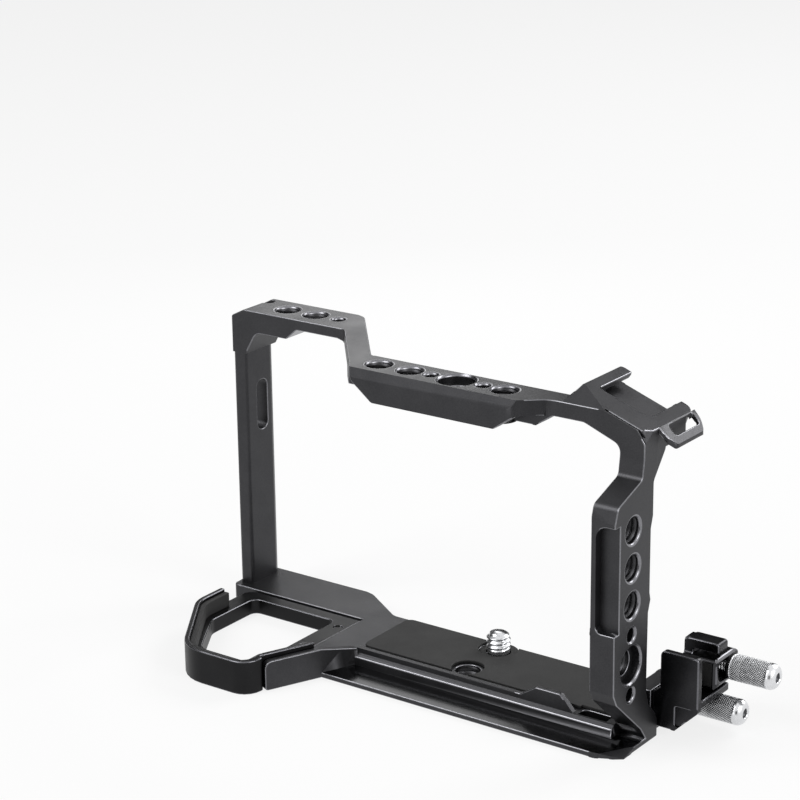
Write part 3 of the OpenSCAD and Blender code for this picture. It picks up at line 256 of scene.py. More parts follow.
# Steel, ground flat: grey with fine lines along its length.
GROUND = Finish("steel_ground_satin", "a9a7a2", "8f8d89", 1.0, 0.30, 0.10, 0.12, 0.003, 12.0)
# Steel, black oxide: a thin dark skin with a dull shine.
OXIDE = Finish("steel_black_oxide", "262627", "1b1b1c", 1.0, 0.34, 0.10, 0.4, 0.003)
# Silicone rubber, moulded: matte black.
SILICONE = Finish("silicone_rubber_moulded_matte", "1c1c1c", "151515", 0.0, 0.62, 0.12, 0.35, 0.01)
# Magnet with nickel: dull silver.
MAGNET = Finish("magnet_nickel_plated", "b4b2ad", "9a9893", 1.0, 0.28, 0.08, 0.5, 0.002)

# What a part is cut from: the record's slot, and the finishes of its faces and broken edges. On
# the clamp the broken edges are painted grey as a highlight.
RUBBER = ("silicone", SILICONE, SILICONE)
DARK_STEEL = ("steel_black", OXIDE, OXIDE)
SATIN_STEEL = ("steel_satin", GROUND, GROUND)
CLAMP_METAL = ("clamp_black", MILLED, DARK_EDGE_PAINTED_HIGHLIGHT)


def place_piece(name: str, mesh: BMesh, finishes: Iterable[Finish], body: Body,
                nodes: Iterable[str] = (), sharp_degrees: float = 32.0,
                weighted: bool = True) -> Object:
    """Makes an object from a mesh, dresses it and puts it on its body.

    Args:
        name: The piece's name.
        mesh: Its mesh, in metres and in place. It is freed.
        finishes: The finishes of its faces, by material index.
        body: The body it rides on.
        nodes: The solids of the pack that it stands for.
        sharp_degrees: Edges between faces of the first finish that turn more than this stay sharp
            to the eye.
        weighted: Whether large faces keep their own flat shading.

    Returns:
        The new object.
    """
    for face in mesh.faces:
        face.smooth = True
    for edge in mesh.edges:
        edge.smooth = (any(face.material_index for face in edge.link_faces)
                       or edge.calc_face_angle(0) < math.radians(sharp_degrees))
    piece = add_object(name, mesh)
    for finish in finishes:
        piece.data.materials.append(finish.material())
    if weighted:
        normals = piece.modifiers.new("flat_faces", "WEIGHTED_NORMAL")
        normals.keep_sharp = True
        normals.weight = FLAT_WEIGHT
    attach(piece, body.value)
    if nodes:
        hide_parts(*nodes)
    log.info("%s: %d faces on %s", name, len(piece.data.polygons), body.value)
    return piece


def solid_copy(node: str) -> BMesh:
    """Copies the closed mesh of a solid of the pack."""
    mesh = bmesh.new()
    mesh.from_mesh(frame["nodes"][node].data)
    bmesh.ops.remove_doubles(mesh, verts=mesh.verts, dist=WELD_MM * MM)
    return mesh


def joined_copy(nodes: Iterable[str], sink_mm: float = 0.003) -> BMesh:
    """Joins the meshes of solids that meet face to face into one skin without seams.

    Args:
        nodes: The solids of the pack.
        sink_mm: How far each solid's corners are sunk into the solids before it that they touch.

    Returns:
        The joined mesh.
    """
    skins = [solid_copy(node) for node in nodes]
    trees = [BVHTree.FromBMesh(skin) for skin in skins]
    blocks = []
    for number, skin in enumerate(skins):
        for tree in trees[:number]:
            for corner in skin.verts:
                spot, normal, _, _ = tree.find_nearest(corner.co, sink_mm * MM)
                if spot is not None:
                    corner.co -= normal * sink_mm * MM
        blocks.append(add_object("joining", skin))
    for other in blocks[1:]:
        join = blocks[0].modifiers.new("join", "BOOLEAN")
        join.operation, join.object, join.solver = "UNION", other, "EXACT"
    graph = bpy.context.evaluated_depsgraph_get()
    whole = bmesh.new()
    whole.from_mesh(blocks[0].evaluated_get(graph).to_mesh())
    for block in blocks:
        bpy.data.objects.remove(block)
    return whole


@dataclass(frozen=True)
class EdgeCutter:
    """Breaks the sharp outer edges of a mesh with a narrow rounded cut.

    An edge that has no room for the cut stays as it is.

    Attributes:
        width_mm: How far the cut reaches into each face.
        sharp_degrees: Edges that turn more than this are cut.
        segments: Number of facets across the cut.
        long_mm, end_mm: Edges longer than the first are parted the second away from their ends,
            so that a corner without room costs only that end of the edge.
        mark_mm: Distance between the marks along an edge that tell where it runs.
        reach, reach_growth: How far round a fault edges are left alone, and how much further at
            each try, in widths.
        tries: How often the cut is made anew without the edges that had no room.
        parting_mm, parting_slack_mm: Places along Y of the planes through the holes' axes, and
            how close to one a corner counts as on it.
        weld_mm: Corners closer than this are welded before the cut.
        flat_degrees: Faces that turn less than this from each other are joined.
        thrown, least_lean: A corner further than this from the old surface is a fault, in widths,
            and so is a cut face that leans to it by less than this cosine.
        speck_mm2: Faces smaller than this are too small to be a fault.
    """

    width_mm: float = 0.24
    sharp_degrees: float = 29.0
    segments: int = 2
    long_mm: float = 3.0
    end_mm: float = 1.0
    mark_mm: float = 0.4
    reach: float = 1.6
    reach_growth: float = 0.5
    tries: int = 8
    parting_mm: tuple[float, ...] = (-10.3, -5.4, 14.0, 20.9)
    parting_slack_mm: float = 0.001
    weld_mm: float = 0.006
    flat_degrees: float = 0.6
    thrown: float = 0.75
    least_lean: float = 0.2
    speck_mm2: float = 1e-4

    def is_sharp(self, edge: BMEdge) -> bool:
        """Tells whether an edge is one that gets cut."""
        return (edge.is_manifold and edge.is_convex
                and edge.calc_face_angle() > math.radians(self.sharp_degrees))

    def part_long_edges(self, mesh: BMesh) -> None:
        """Parts the long sharp edges near their ends."""
        for edge in [e for e in mesh.edges if self.is_sharp(e)]:
            length = edge.calc_length() / MM
            if length > self.long_mm:
                first, last = edge.verts
                rest, _ = bmesh.utils.edge_split(edge, first, self.end_mm / length)
                rest = rest if last in rest.verts else edge
                bmesh.utils.edge_split(rest, last, self.end_mm / (length - self.end_mm))

    def marks(self, mesh: BMesh, sharp: list[int]) -> tuple[KDTree, list[int]]:
        """Marks where the sharp edges run.

        Args:
            mesh: The mesh before the cut.
            sharp: Index of each sharp edge.

        Returns:
            A tree of points, and the edge of each point.
        """
        points, owners = [], []
        for index in sharp:
            first, last = (vertex.co for vertex in mesh.edges[index].verts)
            count = max(1, int((last - first).length / (self.mark_mm * MM)))
            points += [first.lerp(last, k / count) for k in range(count + 1)]
            owners += [index] * (count + 1)
        tree = KDTree(len(points))
        for number, point in enumerate(points):
            tree.insert(point, number)
        tree.balance()
        return tree, owners

    def crossings(self, face: BMFace) -> list[Vector]:
        """Finds where the outline of a face crosses itself."""
        across = face.normal.orthogonal().normalized()
        along = face.normal.cross(across)
        spots = [loop.vert.co for loop in face.loops]
        flat = [Vector((spot.dot(across), spot.dot(along))) for spot in spots]
        count = len(flat)
        found = []
        for i in range(count):
            # The first side also meets the last one, so that pair is left out.
            for j in range(i + 2, count - (i == 0)):
                if intersect_line_line_2d(flat[i], flat[(i + 1) % count],
                                          flat[j], flat[(j + 1) % count]):
                    found += [spots[i], spots[(i + 1) % count], spots[j], spots[(j + 1) % count]]
        return [spot.copy() for spot in found]

    def faults(self, mesh: BMesh, before: BVHTree) -> list[Vector]:
        """Finds where a cut ran out of room: corners thrown far out, faces folded or turned over.

        Args:
            mesh: The mesh after the cut.
            before: The surface before it.

        Returns:
            A point at each fault.
        """
        speck = self.speck_mm2 * MM * MM
        found = [vertex.co.copy() for vertex in mesh.verts
                 if before.find_nearest(vertex.co)[3] > self.thrown * self.width_mm * MM]
        folded = set()
        mesh.normal_update()
        for loops in mesh.calc_loop_triangles():
            a, b, c = (loop.vert.co for loop in loops)
            face = loops[0].face
            turn = (b - a).cross(c - a)
            # The cross product is twice the triangle's area.
            if turn.dot(face.normal) < 0 and turn.length > 2 * speck:
                folded.add(face)
        for face in folded:
            found += self.crossings(face) or [vertex.co.copy() for vertex in face.verts]
        for face in mesh.faces:
            if face.material_index and face.calc_area() > speck:
                middle = face.calc_center_median()
                if before.find_nearest(middle)[1].dot(face.normal) < self.least_lean:
                    found.append(middle.copy())
        return found

    def flatten(self, whole: BMesh) -> None:
        """Joins the triangles of each flat face, parted on planes through the holes' axes.

        A face that rings a hole would need a slit to the hole, and a slit that meets the rim at a
        low angle leaves no room for the cut.

        Args:
            whole: The mesh of the solid.
        """
        bmesh.ops.remove_doubles(whole, verts=whole.verts, dist=self.weld_mm * MM)
        bmesh.ops.dissolve_degenerate(whole, dist=self.weld_mm * MM, edges=whole.edges)
        for place in self.parting_mm:
            cut = bmesh.ops.bisect_plane(
                whole, geom=[*whole.verts, *whole.edges, *whole.faces],
                dist=self.parting_slack_mm * MM, plane_co=(0, place * MM, 0), plane_no=(0, 1, 0))
            for item in cut["geom_cut"]:
                if isinstance(item, BMEdge):
                    item.seam = True
        bmesh.ops.dissolve_limit(whole, angle_limit=math.radians(self.flat_degrees),
                                 verts=whole.verts, edges=whole.edges, delimit={"SEAM"})

    def cut(self, whole: BMesh) -> BMesh:
        """Cuts the sharp edges. The cut faces get the second finish.

        Args:
            whole: The mesh of the solid. It is freed.

        Returns:
            The mesh with its edges broken.
        """
        self.flatten(whole)
        for face in whole.faces:
            face.material_index = 0
        self.part_long_edges(whole)
        whole.edges.index_update()
        whole.edges.ensure_lookup_table()
        sharp = [edge.index for edge in whole.edges if self.is_sharp(edge)]
        before = BVHTree.FromBMesh(whole)
        marks, owners = self.marks(whole, sharp)
        left: set[int] = set()
        for number in range(self.tries):
            mesh = whole.copy()
            mesh.edges.ensure_lookup_table()
            bmesh.ops.bevel(mesh, geom=[mesh.edges[i] for i in sharp if i not in left],
                            offset=self.width_mm * MM, offset_type="OFFSET",
                            segments=self.segments, profile=0.5, affect="EDGES",
                            clamp_overlap=False, material=SECOND_FINISH, loop_slide=True)
            reach = (self.reach + number * self.reach_growth) * self.width_mm * MM
            faults = self.faults(mesh, before)
            near = {owners[k] for point in faults
                    for _, k, _ in marks.find_range(point, reach)} - left
            if not near:
                break
            left |= near
        log.info("edges cut: %d of %d, faults %d", len(sharp) - len(left), len(sharp), len(faults))
        whole.free()
        return mesh


@dataclass(frozen=True)
class CutPart:
    """A part cut from solid stock, with its sharp edges broken.

    Attributes:
        name, nodes: The finished piece's name, and the solids of the pack that it is made from.
        slot: The record's material slot; not used.
        finish, edge_finish_and_highlight: The finishes of its faces and of its broken edges; on
        the metal parts the edges' finish is a painted highlight.
        body: The body it rides on.
        edge_mm: Width of the broken edges.
        sharp_degrees: Turn above which an edge stays sharp to the eye.
    """

    name: str
    nodes: tuple[str, ...]
    slot: str
    finish: Finish
    edge_finish_and_highlight: Finish
    body: Body = Body.FRAME
    edge_mm: float = 0.24
    sharp_degrees: float = 24.0

    def build(self) -> Object:
        """Breaks the edges of the solids' mesh and places the piece."""
        whole = joined_copy(self.nodes) if len(self.nodes) > 1 else solid_copy(self.nodes[0])
        return place_piece(self.name, EdgeCutter(self.edge_mm).cut(whole),
                           (self.finish, self.edge_finish_and_highlight), self.body, self.nodes,
                           self.sharp_degrees)


@dataclass
class Thread:
    """The turned ridge inside one tapped hole.

    Attributes:
        mouth: Centre of the hole's mouth, in mm.
        into: Direction into the metal.
        start_mm: Depth where the ridge starts.
        length_mm: Length of the ridge along the hole.
        radius_mm, pitch_mm: Radius of the hole's wall, and the distance from turn to turn.
        ridge_mm: Height of the ridge.
        steps: Number of steps in a turn.
        foot_share, crest_share: Half its width at the wall and at the crest, in pitches.
        sunk_mm: How far its foot is sunk into the wall.
        fade_turns, least_rise: Turns at each end in which it rises, and its share at the ends.
    """

    mouth: Vector
    into: Vector
    start_mm: float
    length_mm: float
    radius_mm: float = 3.175
    pitch_mm: float = 1.27
    ridge_mm: float = 0.55
    steps: int = 40
    foot_share: float = 0.46
    crest_share: float = 0.08
    sunk_mm: float = 0.02
    fade_turns: float = 0.5
    least_rise: float = 0.02

    def build(self, mesh: BMesh) -> None:
        """Adds the ridge to a mesh."""
        side = self.into.orthogonal().normalized()
        other = self.into.cross(side)
        count = int(self.length_mm / self.pitch_mm * self.steps)
        foot, flat = self.foot_share * self.pitch_mm, self.crest_share * self.pitch_mm
        wall = self.radius_mm + self.sunk_mm
        rings = []
        for i in range(count + 1):
            angle = math.tau * i / self.steps
            depth = self.start_mm + self.pitch_mm * i / self.steps
            rise = min(1.0, min(i, count - i) / self.steps / self.fade_turns)
            crest = self.radius_mm - self.ridge_mm * max(rise, self.least_rise)
            out = side * math.cos(angle) + other * math.sin(angle)
            points = ((wall, -foot), (crest, -flat), (crest, flat), (wall, foot))
            rings.append([mesh.verts.new((self.mouth + out * r + self.into * (depth + z)) * MM)
                          for r, z in points])
        for a, b in zip(rings, rings[1:]):
            for k in range(len(a) - 1):
                mesh.faces.new((a[k], a[k + 1], b[k + 1], b[k]))
        mesh.faces.new(rings[0])
        mesh.faces.new(reversed(rings[-1]))


def even(radius: float) -> Radius:
    """Gives the radius of a plain round ring, the same at every angle."""
    return lambda angle: radius


@dataclass
class TurnedPart:
    """A part turned on a lathe, with a knurl or a thread in its skin.

    Attributes:
        origin: The point of its axis that its profile starts from, in mm.
        axis: Direction of its axis.
        around: Number of faces around it.
    """

    origin: Vector
    axis: Vector
    around: int = 96

    def skin(self, rings: list[Ring]) -> BMesh:
        """Makes a mesh with a closed skin through rings of points.

        Args:
            rings: The rings, in order along the skin.

        Returns:
            The mesh, in metres.
        """
        mesh = bmesh.new()
        side = self.axis.orthogonal().normalized()
        other = self.axis.cross(side)
        made = []
        for along, radius in rings:
            ring = []
            for k in range(self.around):
                angle = math.tau * k / self.around
                out = side * math.cos(angle) + other * math.sin(angle)
                ring.append(mesh.verts.new((self.origin + self.axis * along
                                            + out * radius(angle)) * MM))
            made.append(ring)
        for a, b in zip(made, made[1:]):
            for k in range(self.around):
                j = (k + 1) % self.around
                mesh.faces.new((a[k], a[j], b[j], b[k]))
        mesh.faces.new(list(reversed(made[0])))
        mesh.faces.new(made[-1])
        return mesh


@dataclass
class ThumbScrew(TurnedPart):
    """A knurled thumb screw: thread, knurled head, domed end with a recess.

    Attributes:
        reach_mm, thread_r_mm, thread_pitch_mm, thread_ridge_mm: Length, radius, pitch and height
            of its thread.
        head_mm, head_r_mm: Length and radius of its head.
        thread_steps: Rings in a turn of the thread.
        thread_rise: Its ridge rises in the first of this many parts of the thread.
        tip_mm, tip_cut_mm: Length and depth of the chamfer at the thread's tip.
        seat: Rings under the head: place along it, and how much smaller than its radius, in mm.
        knurls: Number of ridges around the head, each way.
        knurl_mm: Distance from ridge to ridge along the head. It is drawn a little coarser than
            the real 0.5 mm or so, to show.
        knurl_depth_mm, knurl_from_mm: Depth of the knurl, and the place where it starts.
        knurl_step_mm: Distance between the knurl's rings, about.
        knurl_rise: Number of rings at each end in which the knurl gets its depth.
        plain_mm: Ends of the head's straight part that don't count as knurled.
        groove_share: Faces deeper than this share of the knurl's depth get the painted shade.
        groove_floor_mm: Faces deeper than this are not the knurl's.
        dome_mm, dome_r_mm, dome_degrees: Height, last radius and step of the domed end.
        recess: Rings of the recess in the end: depth and radius, in mm.
        recess_zone: Faces within this depth and radius are the recess's, and get the painted
            shade.
    """

    reach_mm: float = 9.0
    head_mm: float = 12.3
    head_r_mm: float = 3.3
    thread_r_mm: float = 1.92
    thread_pitch_mm: float = 0.7
    thread_ridge_mm: float = 0.3
    thread_steps: int = 6
    thread_rise: int = 8
    tip_mm: float = 0.3
    tip_cut_mm: float = 0.5
    seat: tuple[Pair, ...] = ((0.0, 0.45), (0.0, 0.44), (0.25, 0.15))
    knurls: int = 34
    knurl_mm: float = 0.61
    knurl_depth_mm: float = 0.24
    knurl_from_mm: float = 0.4
    knurl_step_mm: float = 0.1
    knurl_rise: int = 4
    plain_mm: Pair = (0.6, 0.3)
    groove_share: float = 0.64
    groove_floor_mm: float = 0.5
    dome_mm: float = 2.0
    dome_r_mm: float = 1.55
    dome_degrees: int = 15
    recess: tuple[Pair, ...] = ((0.0, 1.4), (0.25, 1.2), (0.9, 1.15), (1.1, 0.25))
    recess_zone: Pair = (1.2, 1.22)

    def knurl(self, along: float, depth: float) -> Radius:
        """Gives the radius of the knurled skin at one place along the head."""
        def radius(angle: float) -> float:
            """Gives the radius at an angle: two crossing sets of ridges."""
            turn = self.knurls * angle / math.tau
            a = abs((turn + along / self.knurl_mm) % 1 * 2 - 1)
            b = abs((turn - along / self.knurl_mm) % 1 * 2 - 1)
            return self.head_r_mm - depth * (1 - min(a, b))
        return radius

    def thread(self, along: float, fade: float) -> Radius:
        """Gives the radius of the threaded skin at one place along the thread."""
        def radius(angle: float) -> float:
            """Gives the radius at an angle: one ridge that winds along."""
            turn = (angle / math.tau - along / self.thread_pitch_mm) % 1
            return self.thread_r_mm - self.thread_ridge_mm * fade * abs(turn * 2 - 1)
        return radius

    def thread_rings(self) -> list[Ring]:
        """Gives the rings of the thread, from its tip to the head."""
        rings = [(-self.reach_mm, even(self.thread_r_mm - self.tip_cut_mm))]
        count = int(self.reach_mm / self.thread_pitch_mm * self.thread_steps)
        for i in range(count + 1):
            share = i / count
            along = -self.reach_mm + self.tip_mm + (self.reach_mm - self.tip_mm) * share
            rings.append((along, self.thread(along, min(1, share * self.thread_rise))))
        return rings

    def head_rings(self) -> list[Ring]:
        """Gives the rings of the head, from its seat over the dome into the recess."""
        full, end, straight = self.head_r_mm, self.head_mm, self.head_mm - self.dome_mm
        rings = [(along, even(full - less)) for along, less in self.seat]
        count = int((straight - self.plain_mm[0]) / self.knurl_step_mm)
        for i in range(count + 1):
            along = self.knurl_from_mm + (straight - self.knurl_from_mm) * i / count
            fade = min(1, i / self.knurl_rise, (count - i) / self.knurl_rise)
            rings.append((along, self.knurl(along, self.knurl_depth_mm * fade)))
        for degrees in range(self.dome_degrees, 91, self.dome_degrees):
            turn = math.radians(degrees)
            r = full - (full - self.dome_r_mm) * (1 - math.cos(turn))
            rings.append((straight + self.dome_mm * math.sin(turn), even(r)))
        return rings + [(end - depth, even(r)) for depth, r in self.recess]

    def build(self, name: str, node: str, body: Body) -> Object:
        """Turns the screw and places it.

        Args:
            name: The piece's name.
            node: The solid that it stands for.
            body: The body it rides on.

        Returns:
            The new object.
        """
        mesh = self.skin(self.thread_rings() + self.head_rings())
        self.paint_groove_shade(mesh)
        return place_piece(name, mesh, (NICKEL, NICKEL_PAINTED_SHADE), body, (node,),
                           sharp_degrees=40.0, weighted=False)

    def paint_groove_shade(self, mesh: BMesh) -> None:
        """Paints shade, in the darker nickel, on the faces low between the knurls and in the
        recess.
        """
        low = self.head_r_mm - self.groove_share * self.knurl_depth_mm
        floor = self.head_r_mm - self.groove_floor_mm
        start, end = self.plain_mm[0], self.head_mm - self.dome_mm - self.plain_mm[1]
        deep, wide = self.recess_zone
        for face in mesh.faces:
            spot = face.calc_center_median() / MM - self.origin
            along = spot.dot(self.axis)
            out = (spot - self.axis * along).length
            if ((start < along < end and floor < out < low)
                    or (along > self.head_mm - deep and out < wide)):
                face.material_index = SECOND_FINISH


@dataclass
class CameraScrew(TurnedPart):
    """The screw that holds the camera: slotted head, smooth neck, 1/4 inch thread.

    Attributes:
        head: Rings of its head: height and radius, in mm.
        neck_r_mm, thread_r_mm: Radius of its neck and of its thread.
        top_mm: Height of its tip.
        tip_mm, tip_slope: Length and slope of the taper at the tip.
        thread_from_mm, thread_rise_mm: Where the thread starts, and how long its ridge rises.
        pitch_mm, ridge_mm: Distance from turn to turn, and height of the ridge.
        step_mm: Distance between the rings of the thread, about.
        slot_top_mm: Height where the slot in its head ends.
        saw_mm: Size of the saw that cuts the slot.
    """

    head: tuple[Pair, ...] = ((0.2, 5.8), (0.6, 6.2), (2.1, 6.2), (2.3, 6.0), (2.3, 2.95))
    neck_r_mm: float = 2.9
    thread_r_mm: float = 3.175
    top_mm: float = 9.9
    tip_mm: float = 0.9
    tip_slope: float = 0.8
    thread_from_mm: float = 5.6
    thread_rise_mm: float = 0.4
    pitch_mm: float = 1.27
    ridge_mm: float = 0.6
    step_mm: float = 0.12
    slot_top_mm: float = 1.3
    saw_mm: Point = (18.6, 1.4, 3.0)

    def thread(self, along: float) -> Radius:
        """Gives the radius of the threaded skin at one place along the thread."""
        fade = min(1, max(0, (along - self.thread_from_mm) / self.thread_rise_mm))
        tip = max(0, along - (self.top_mm - self.tip_mm)) * self.tip_slope

        def radius(angle: float) -> float:
            """Gives the radius at an angle: one ridge that winds along."""
            turn = (angle / math.tau - along / self.pitch_mm) % 1
            crest = self.thread_r_mm - self.ridge_mm * abs(turn * 2 - 1) - tip
            return self.neck_r_mm + (crest - self.neck_r_mm) * fade
        return radius

    def build(self) -> Object:
        """Turns the screw, saws its slot and places it."""
        rings = [(along, even(radius)) for along, radius in self.head]
        low = self.head[-1][0]
        count = int((self.top_mm - low) / self.step_mm)
        for i in range(count + 1):
            along = low + (self.top_mm - low) * i / count
            rings.append((along, self.thread(along)))
        piece = place_piece("camera_screw_turned", self.skin(rings), (NICKEL,),
                            Body.CAMERA_SCREW, ("camera_screw",),
                            sharp_degrees=35.0, weighted=False)
        height = self.slot_top_mm - self.saw_mm[2] / 2
        saw = box_mesh((self.origin + Vector((0, 0, height))) * MM, Vector(self.saw_mm) * MM)
        cutter = add_object("screw_slot_saw", saw)
        cut = piece.modifiers.new("slot", "BOOLEAN")
        cut.operation, cut.object, cut.solver = "DIFFERENCE", cutter, "EXACT"
        graph = bpy.context.evaluated_depsgraph_get()
        done = bpy.data.meshes.new_from_object(piece.evaluated_get(graph))
        piece.modifiers.clear()
        piece.data = done
        bpy.data.objects.remove(cutter)
        return piece


@dataclass
class Assembly:
    """Parts that go together.

    Attributes:
        parts: Those that are cut from solid stock.
    """

    parts: tuple[CutPart, ...] = ()

    def build(self) -> None:
        """Builds the parts in order."""
        for part in self.parts:
            part.build()


@dataclass
class CageFrame:
    """The machined frame: foot, side plate, bars, post and shoe, with the threads in its holes.

    Attributes:
        step_depth_mm: Depth of the step at the mouth of a stepped hole.
        clear_mm: Depth below a mouth or step where a thread starts.
        plain_mm, slanted_plain_mm: Unthreaded length of a tapped hole, and of the one whose end
            is slanted.
        mouth_mm, pair_mouth_mm: How far the painted highlight of a mouth reaches round a hole, and
        round a paired hole.
        pair_mm: Distance between two paired holes.
        cone: Least and greatest cosine between the cone of a mouth and the hole's axis.
        ledge_z, ledge_y, ledge_slack: Height of the ledge along the foot's front that is painted
            dark
        as a reflection, its furthest place back and the slack in its height, in mm.
        skin: The frame's skin, joined from its members.
    """

    step_depth_mm: float = 2.4
    clear_mm: float = 0.9
    plain_mm: float = 1.2
    slanted_plain_mm: float = 2.7
    mouth_mm: float = 3.0
    pair_mouth_mm: float = 1.0
    pair_mm: float = 15.24
    cone: Pair = (0.4, 0.95)
    ledge_z: float = 1.4
    ledge_y: float = -7.6
    ledge_slack: float = 0.1
    skin: CutPart = CutPart("machined_frame", ("base_plate", "side_plate", "top_bar", "left_post",
                                               "accessory_shoe"), "frame_black", BLASTED, CUT_EDGE_PAINTED_HIGHLIGHT)

    def threads(self, name: str, holes: dict[str, Pair], node: str) -> None:
        """Turns the threads of one member's tapped holes.

        Args:
            name: The piece's name.
            holes: The mounts of the record that are its tapped holes, each with the depth of its
                mouth's step and the length that stays plain, in mm.
            node: The solid whose outer face holds the mouths.
        """
        mesh = bmesh.new()
        low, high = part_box(node)
        for mount in MOUNTS:
            if mount["name"] not in holes:
                continue
            out = Vector(mount["axis"])
            centre = Vector(mount["pos_m"]) / MM
            face = (high if sum(out) > 0 else low).dot(out) / MM
            mouth = centre + out * (face - centre.dot(out))
            step, plain = holes[mount["name"]]
            Thread(mouth, -out, step + self.clear_mm,
                   mount["dims"]["length_mm"] - plain).build(mesh)
        place_piece(name, mesh, (BLASTED,), Body.FRAME, sharp_degrees=20.0,
                    weighted=False)

    def paint_mouth_highlights(self, piece: Object) -> None:
        """Paints the cone at each hole's mouth with the broken edges' lighter colour, as a
        highlight.
        """
        holes = []
        for mount in MOUNTS:
            place, out, dims = Vector(mount["pos_m"]), Vector(mount["axis"]), mount["dims"]
            if "r_mm" in dims:
                holes.append((place, out, dims["r_mm"] + self.mouth_mm))
            elif "hole_r_mm" in dims:
                apart = Vector((out.z, 0, out.x)) * self.pair_mm / 2 * MM
                reach = dims["hole_r_mm"] + self.pair_mouth_mm
                holes += [(place + apart, out, reach), (place - apart, out, reach)]
        for face in piece.data.polygons:
            for place, out, reach in holes:
                away = face.center - place
                beside = away - out * away.dot(out)
                lean = abs(face.normal.dot(out))
                if (beside.length < reach * MM and self.cone[0] < lean < self.cone[1]
                        and face.normal.dot(beside) < 0):
                    face.material_index = SECOND_FINISH

    def paint_ledge_dark(self, piece: Object) -> None:
        """Paints the ledge along the foot's front darker, as a dark reflection, and makes it
        smooth.
        """
        piece.data.materials.append(LEDGE_PAINTED_DARK.material())
        for face in piece.data.polygons:
            if (abs(face.center.z / MM - self.ledge_z) < self.ledge_slack
                    and face.center.y < self.ledge_y * MM and face.normal.z > self.cone[1]
                    and not face.material_index):
                face.material_index = THIRD_FINISH

    def build(self) -> None:
        """Builds the frame's skin and threads."""
        piece = self.skin.build()
        self.paint_mouth_highlights(piece)
        self.paint_ledge_dark(piece)
        through, stepped = (0.0, self.plain_mm), (self.step_depth_mm, self.plain_mm)
        self.threads("threads_in_bars", {
            "top_thread_left": through, "top_thread_mid": through, "top_thread_right": through,
            "top_thread_stepped": stepped, "dial_bar_thread_left": through,
            "dial_bar_thread_right": (0.0, self.slanted_plain_mm)}, "top_bar")
        self.threads("threads_in_side_plate", {
            "side_thread_top": through, "side_thread_mid": through, "side_thread_low": through,
            "side_thread_stepped": stepped}, "side_plate")
        self.threads("thread_in_foot", {"tripod_socket": through}, "base_plate")


@dataclass
class GripTray(Assembly):
    """The tray under the grip, with its liner and screws."""

    parts: tuple[CutPart, ...] = (
        CutPart("tray_under_grip", ("grip_tray",), "tray_black", FINE_BLASTED, DARK_EDGE_PAINTED_HIGHLIGHT,
                edge_mm=0.3),
        CutPart("liner_of_tray", ("grip_tray_liner",), *RUBBER),
        CutPart("screws_of_tray", ("grip_tray_screws",), *DARK_STEEL, edge_mm=0.1),
    )


@dataclass
class CableClamp(Assembly):
    """The cable clamp: bracket, sliding jaw, pads, washers and two knurled thumb screws.

    Attributes:
        around: Number of faces around a thumb screw, eight to each knurl.
    """

    parts: tuple[CutPart, ...] = (
        CutPart("bracket_of_clamp", ("clamp_bracket",), *CLAMP_METAL, edge_mm=0.32),
        CutPart("jaw_of_clamp", ("clamp_jaw",), *CLAMP_METAL, Body.JAW, 0.32),
        CutPart("pad_on_jaw", ("jaw_pad",), *RUBBER, Body.JAW, 0.1),
        CutPart("pad_in_channel", ("channel_pad",), *RUBBER, edge_mm=0.1),
        CutPart("dowels_of_bracket", ("bracket_pins",), *SATIN_STEEL, edge_mm=0.1),
        CutPart("washer_of_jaw_screw", ("clamp_washer",), *DARK_STEEL, Body.JAW_WASHER, 0.08),
        CutPart("washer_of_bracket_screw", ("bracket_washer",), *DARK_STEEL,
                Body.BRACKET_SEAT, 0.12),
    )
    around: int = 272

    def screw(self, node: str, head_mm: float = 12.3) -> ThumbScrew:
        """Sizes a thumb screw from its solid.

        Args:
            node: The solid of the pack.
            head_mm: Length of its head.

        Returns:
            The screw, not yet built.
        """
        low, high = (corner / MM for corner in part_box(node))
        centre = (low + high) / 2
        return ThumbScrew(Vector((high.x - head_mm, centre.y, centre.z)), Vector((1, 0, 0)),
                          self.around, reach_mm=high.x - head_mm - low.x, head_mm=head_mm)

    def build(self) -> None:
        """Builds the clamp's parts and its screws."""
        super().build()
        self.screw("clamp_thumb_screw").build("knob_of_jaw", "clamp_thumb_screw", Body.JAW_SCREW)
        self.screw("bracket_thumb_screw").build("knob_of_bracket", "bracket_thumb_screw",
                                                Body.BRACKET_SCREW)


@dataclass
class Underside(Assembly):
    """The camera's seat: pad, screw, washer and ring, and the key stowed under the foot."""

    parts: tuple[CutPart, ...] = (
        CutPart("pad_on_floor", ("base_pad",), *RUBBER, edge_mm=0.15),
        CutPart("washer_of_camera_screw", ("screw_washer",), *DARK_STEEL,
                Body.SCREW_SEAT, 0.08),
        CutPart("ring_of_camera_screw", ("screw_ring",), *RUBBER, edge_mm=0.1),
        CutPart("key_under_foot", ("stowed_key",), *SATIN_STEEL, Body.KEY, 0.1),
        CutPart("magnets_over_key", ("key_magnets",), "magnet", MAGNET, MAGNET, edge_mm=0.08),
    )

    def build(self) -> None:
        """Builds the seat's and the key's parts, and the camera screw."""
        super().build()
        low, high = (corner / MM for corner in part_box("camera_screw"))
        centre = (low + high) / 2
        CameraScrew(Vector((centre.x, centre.y, 0)), Vector((0, 0, 1)), top_mm=high.z).build()


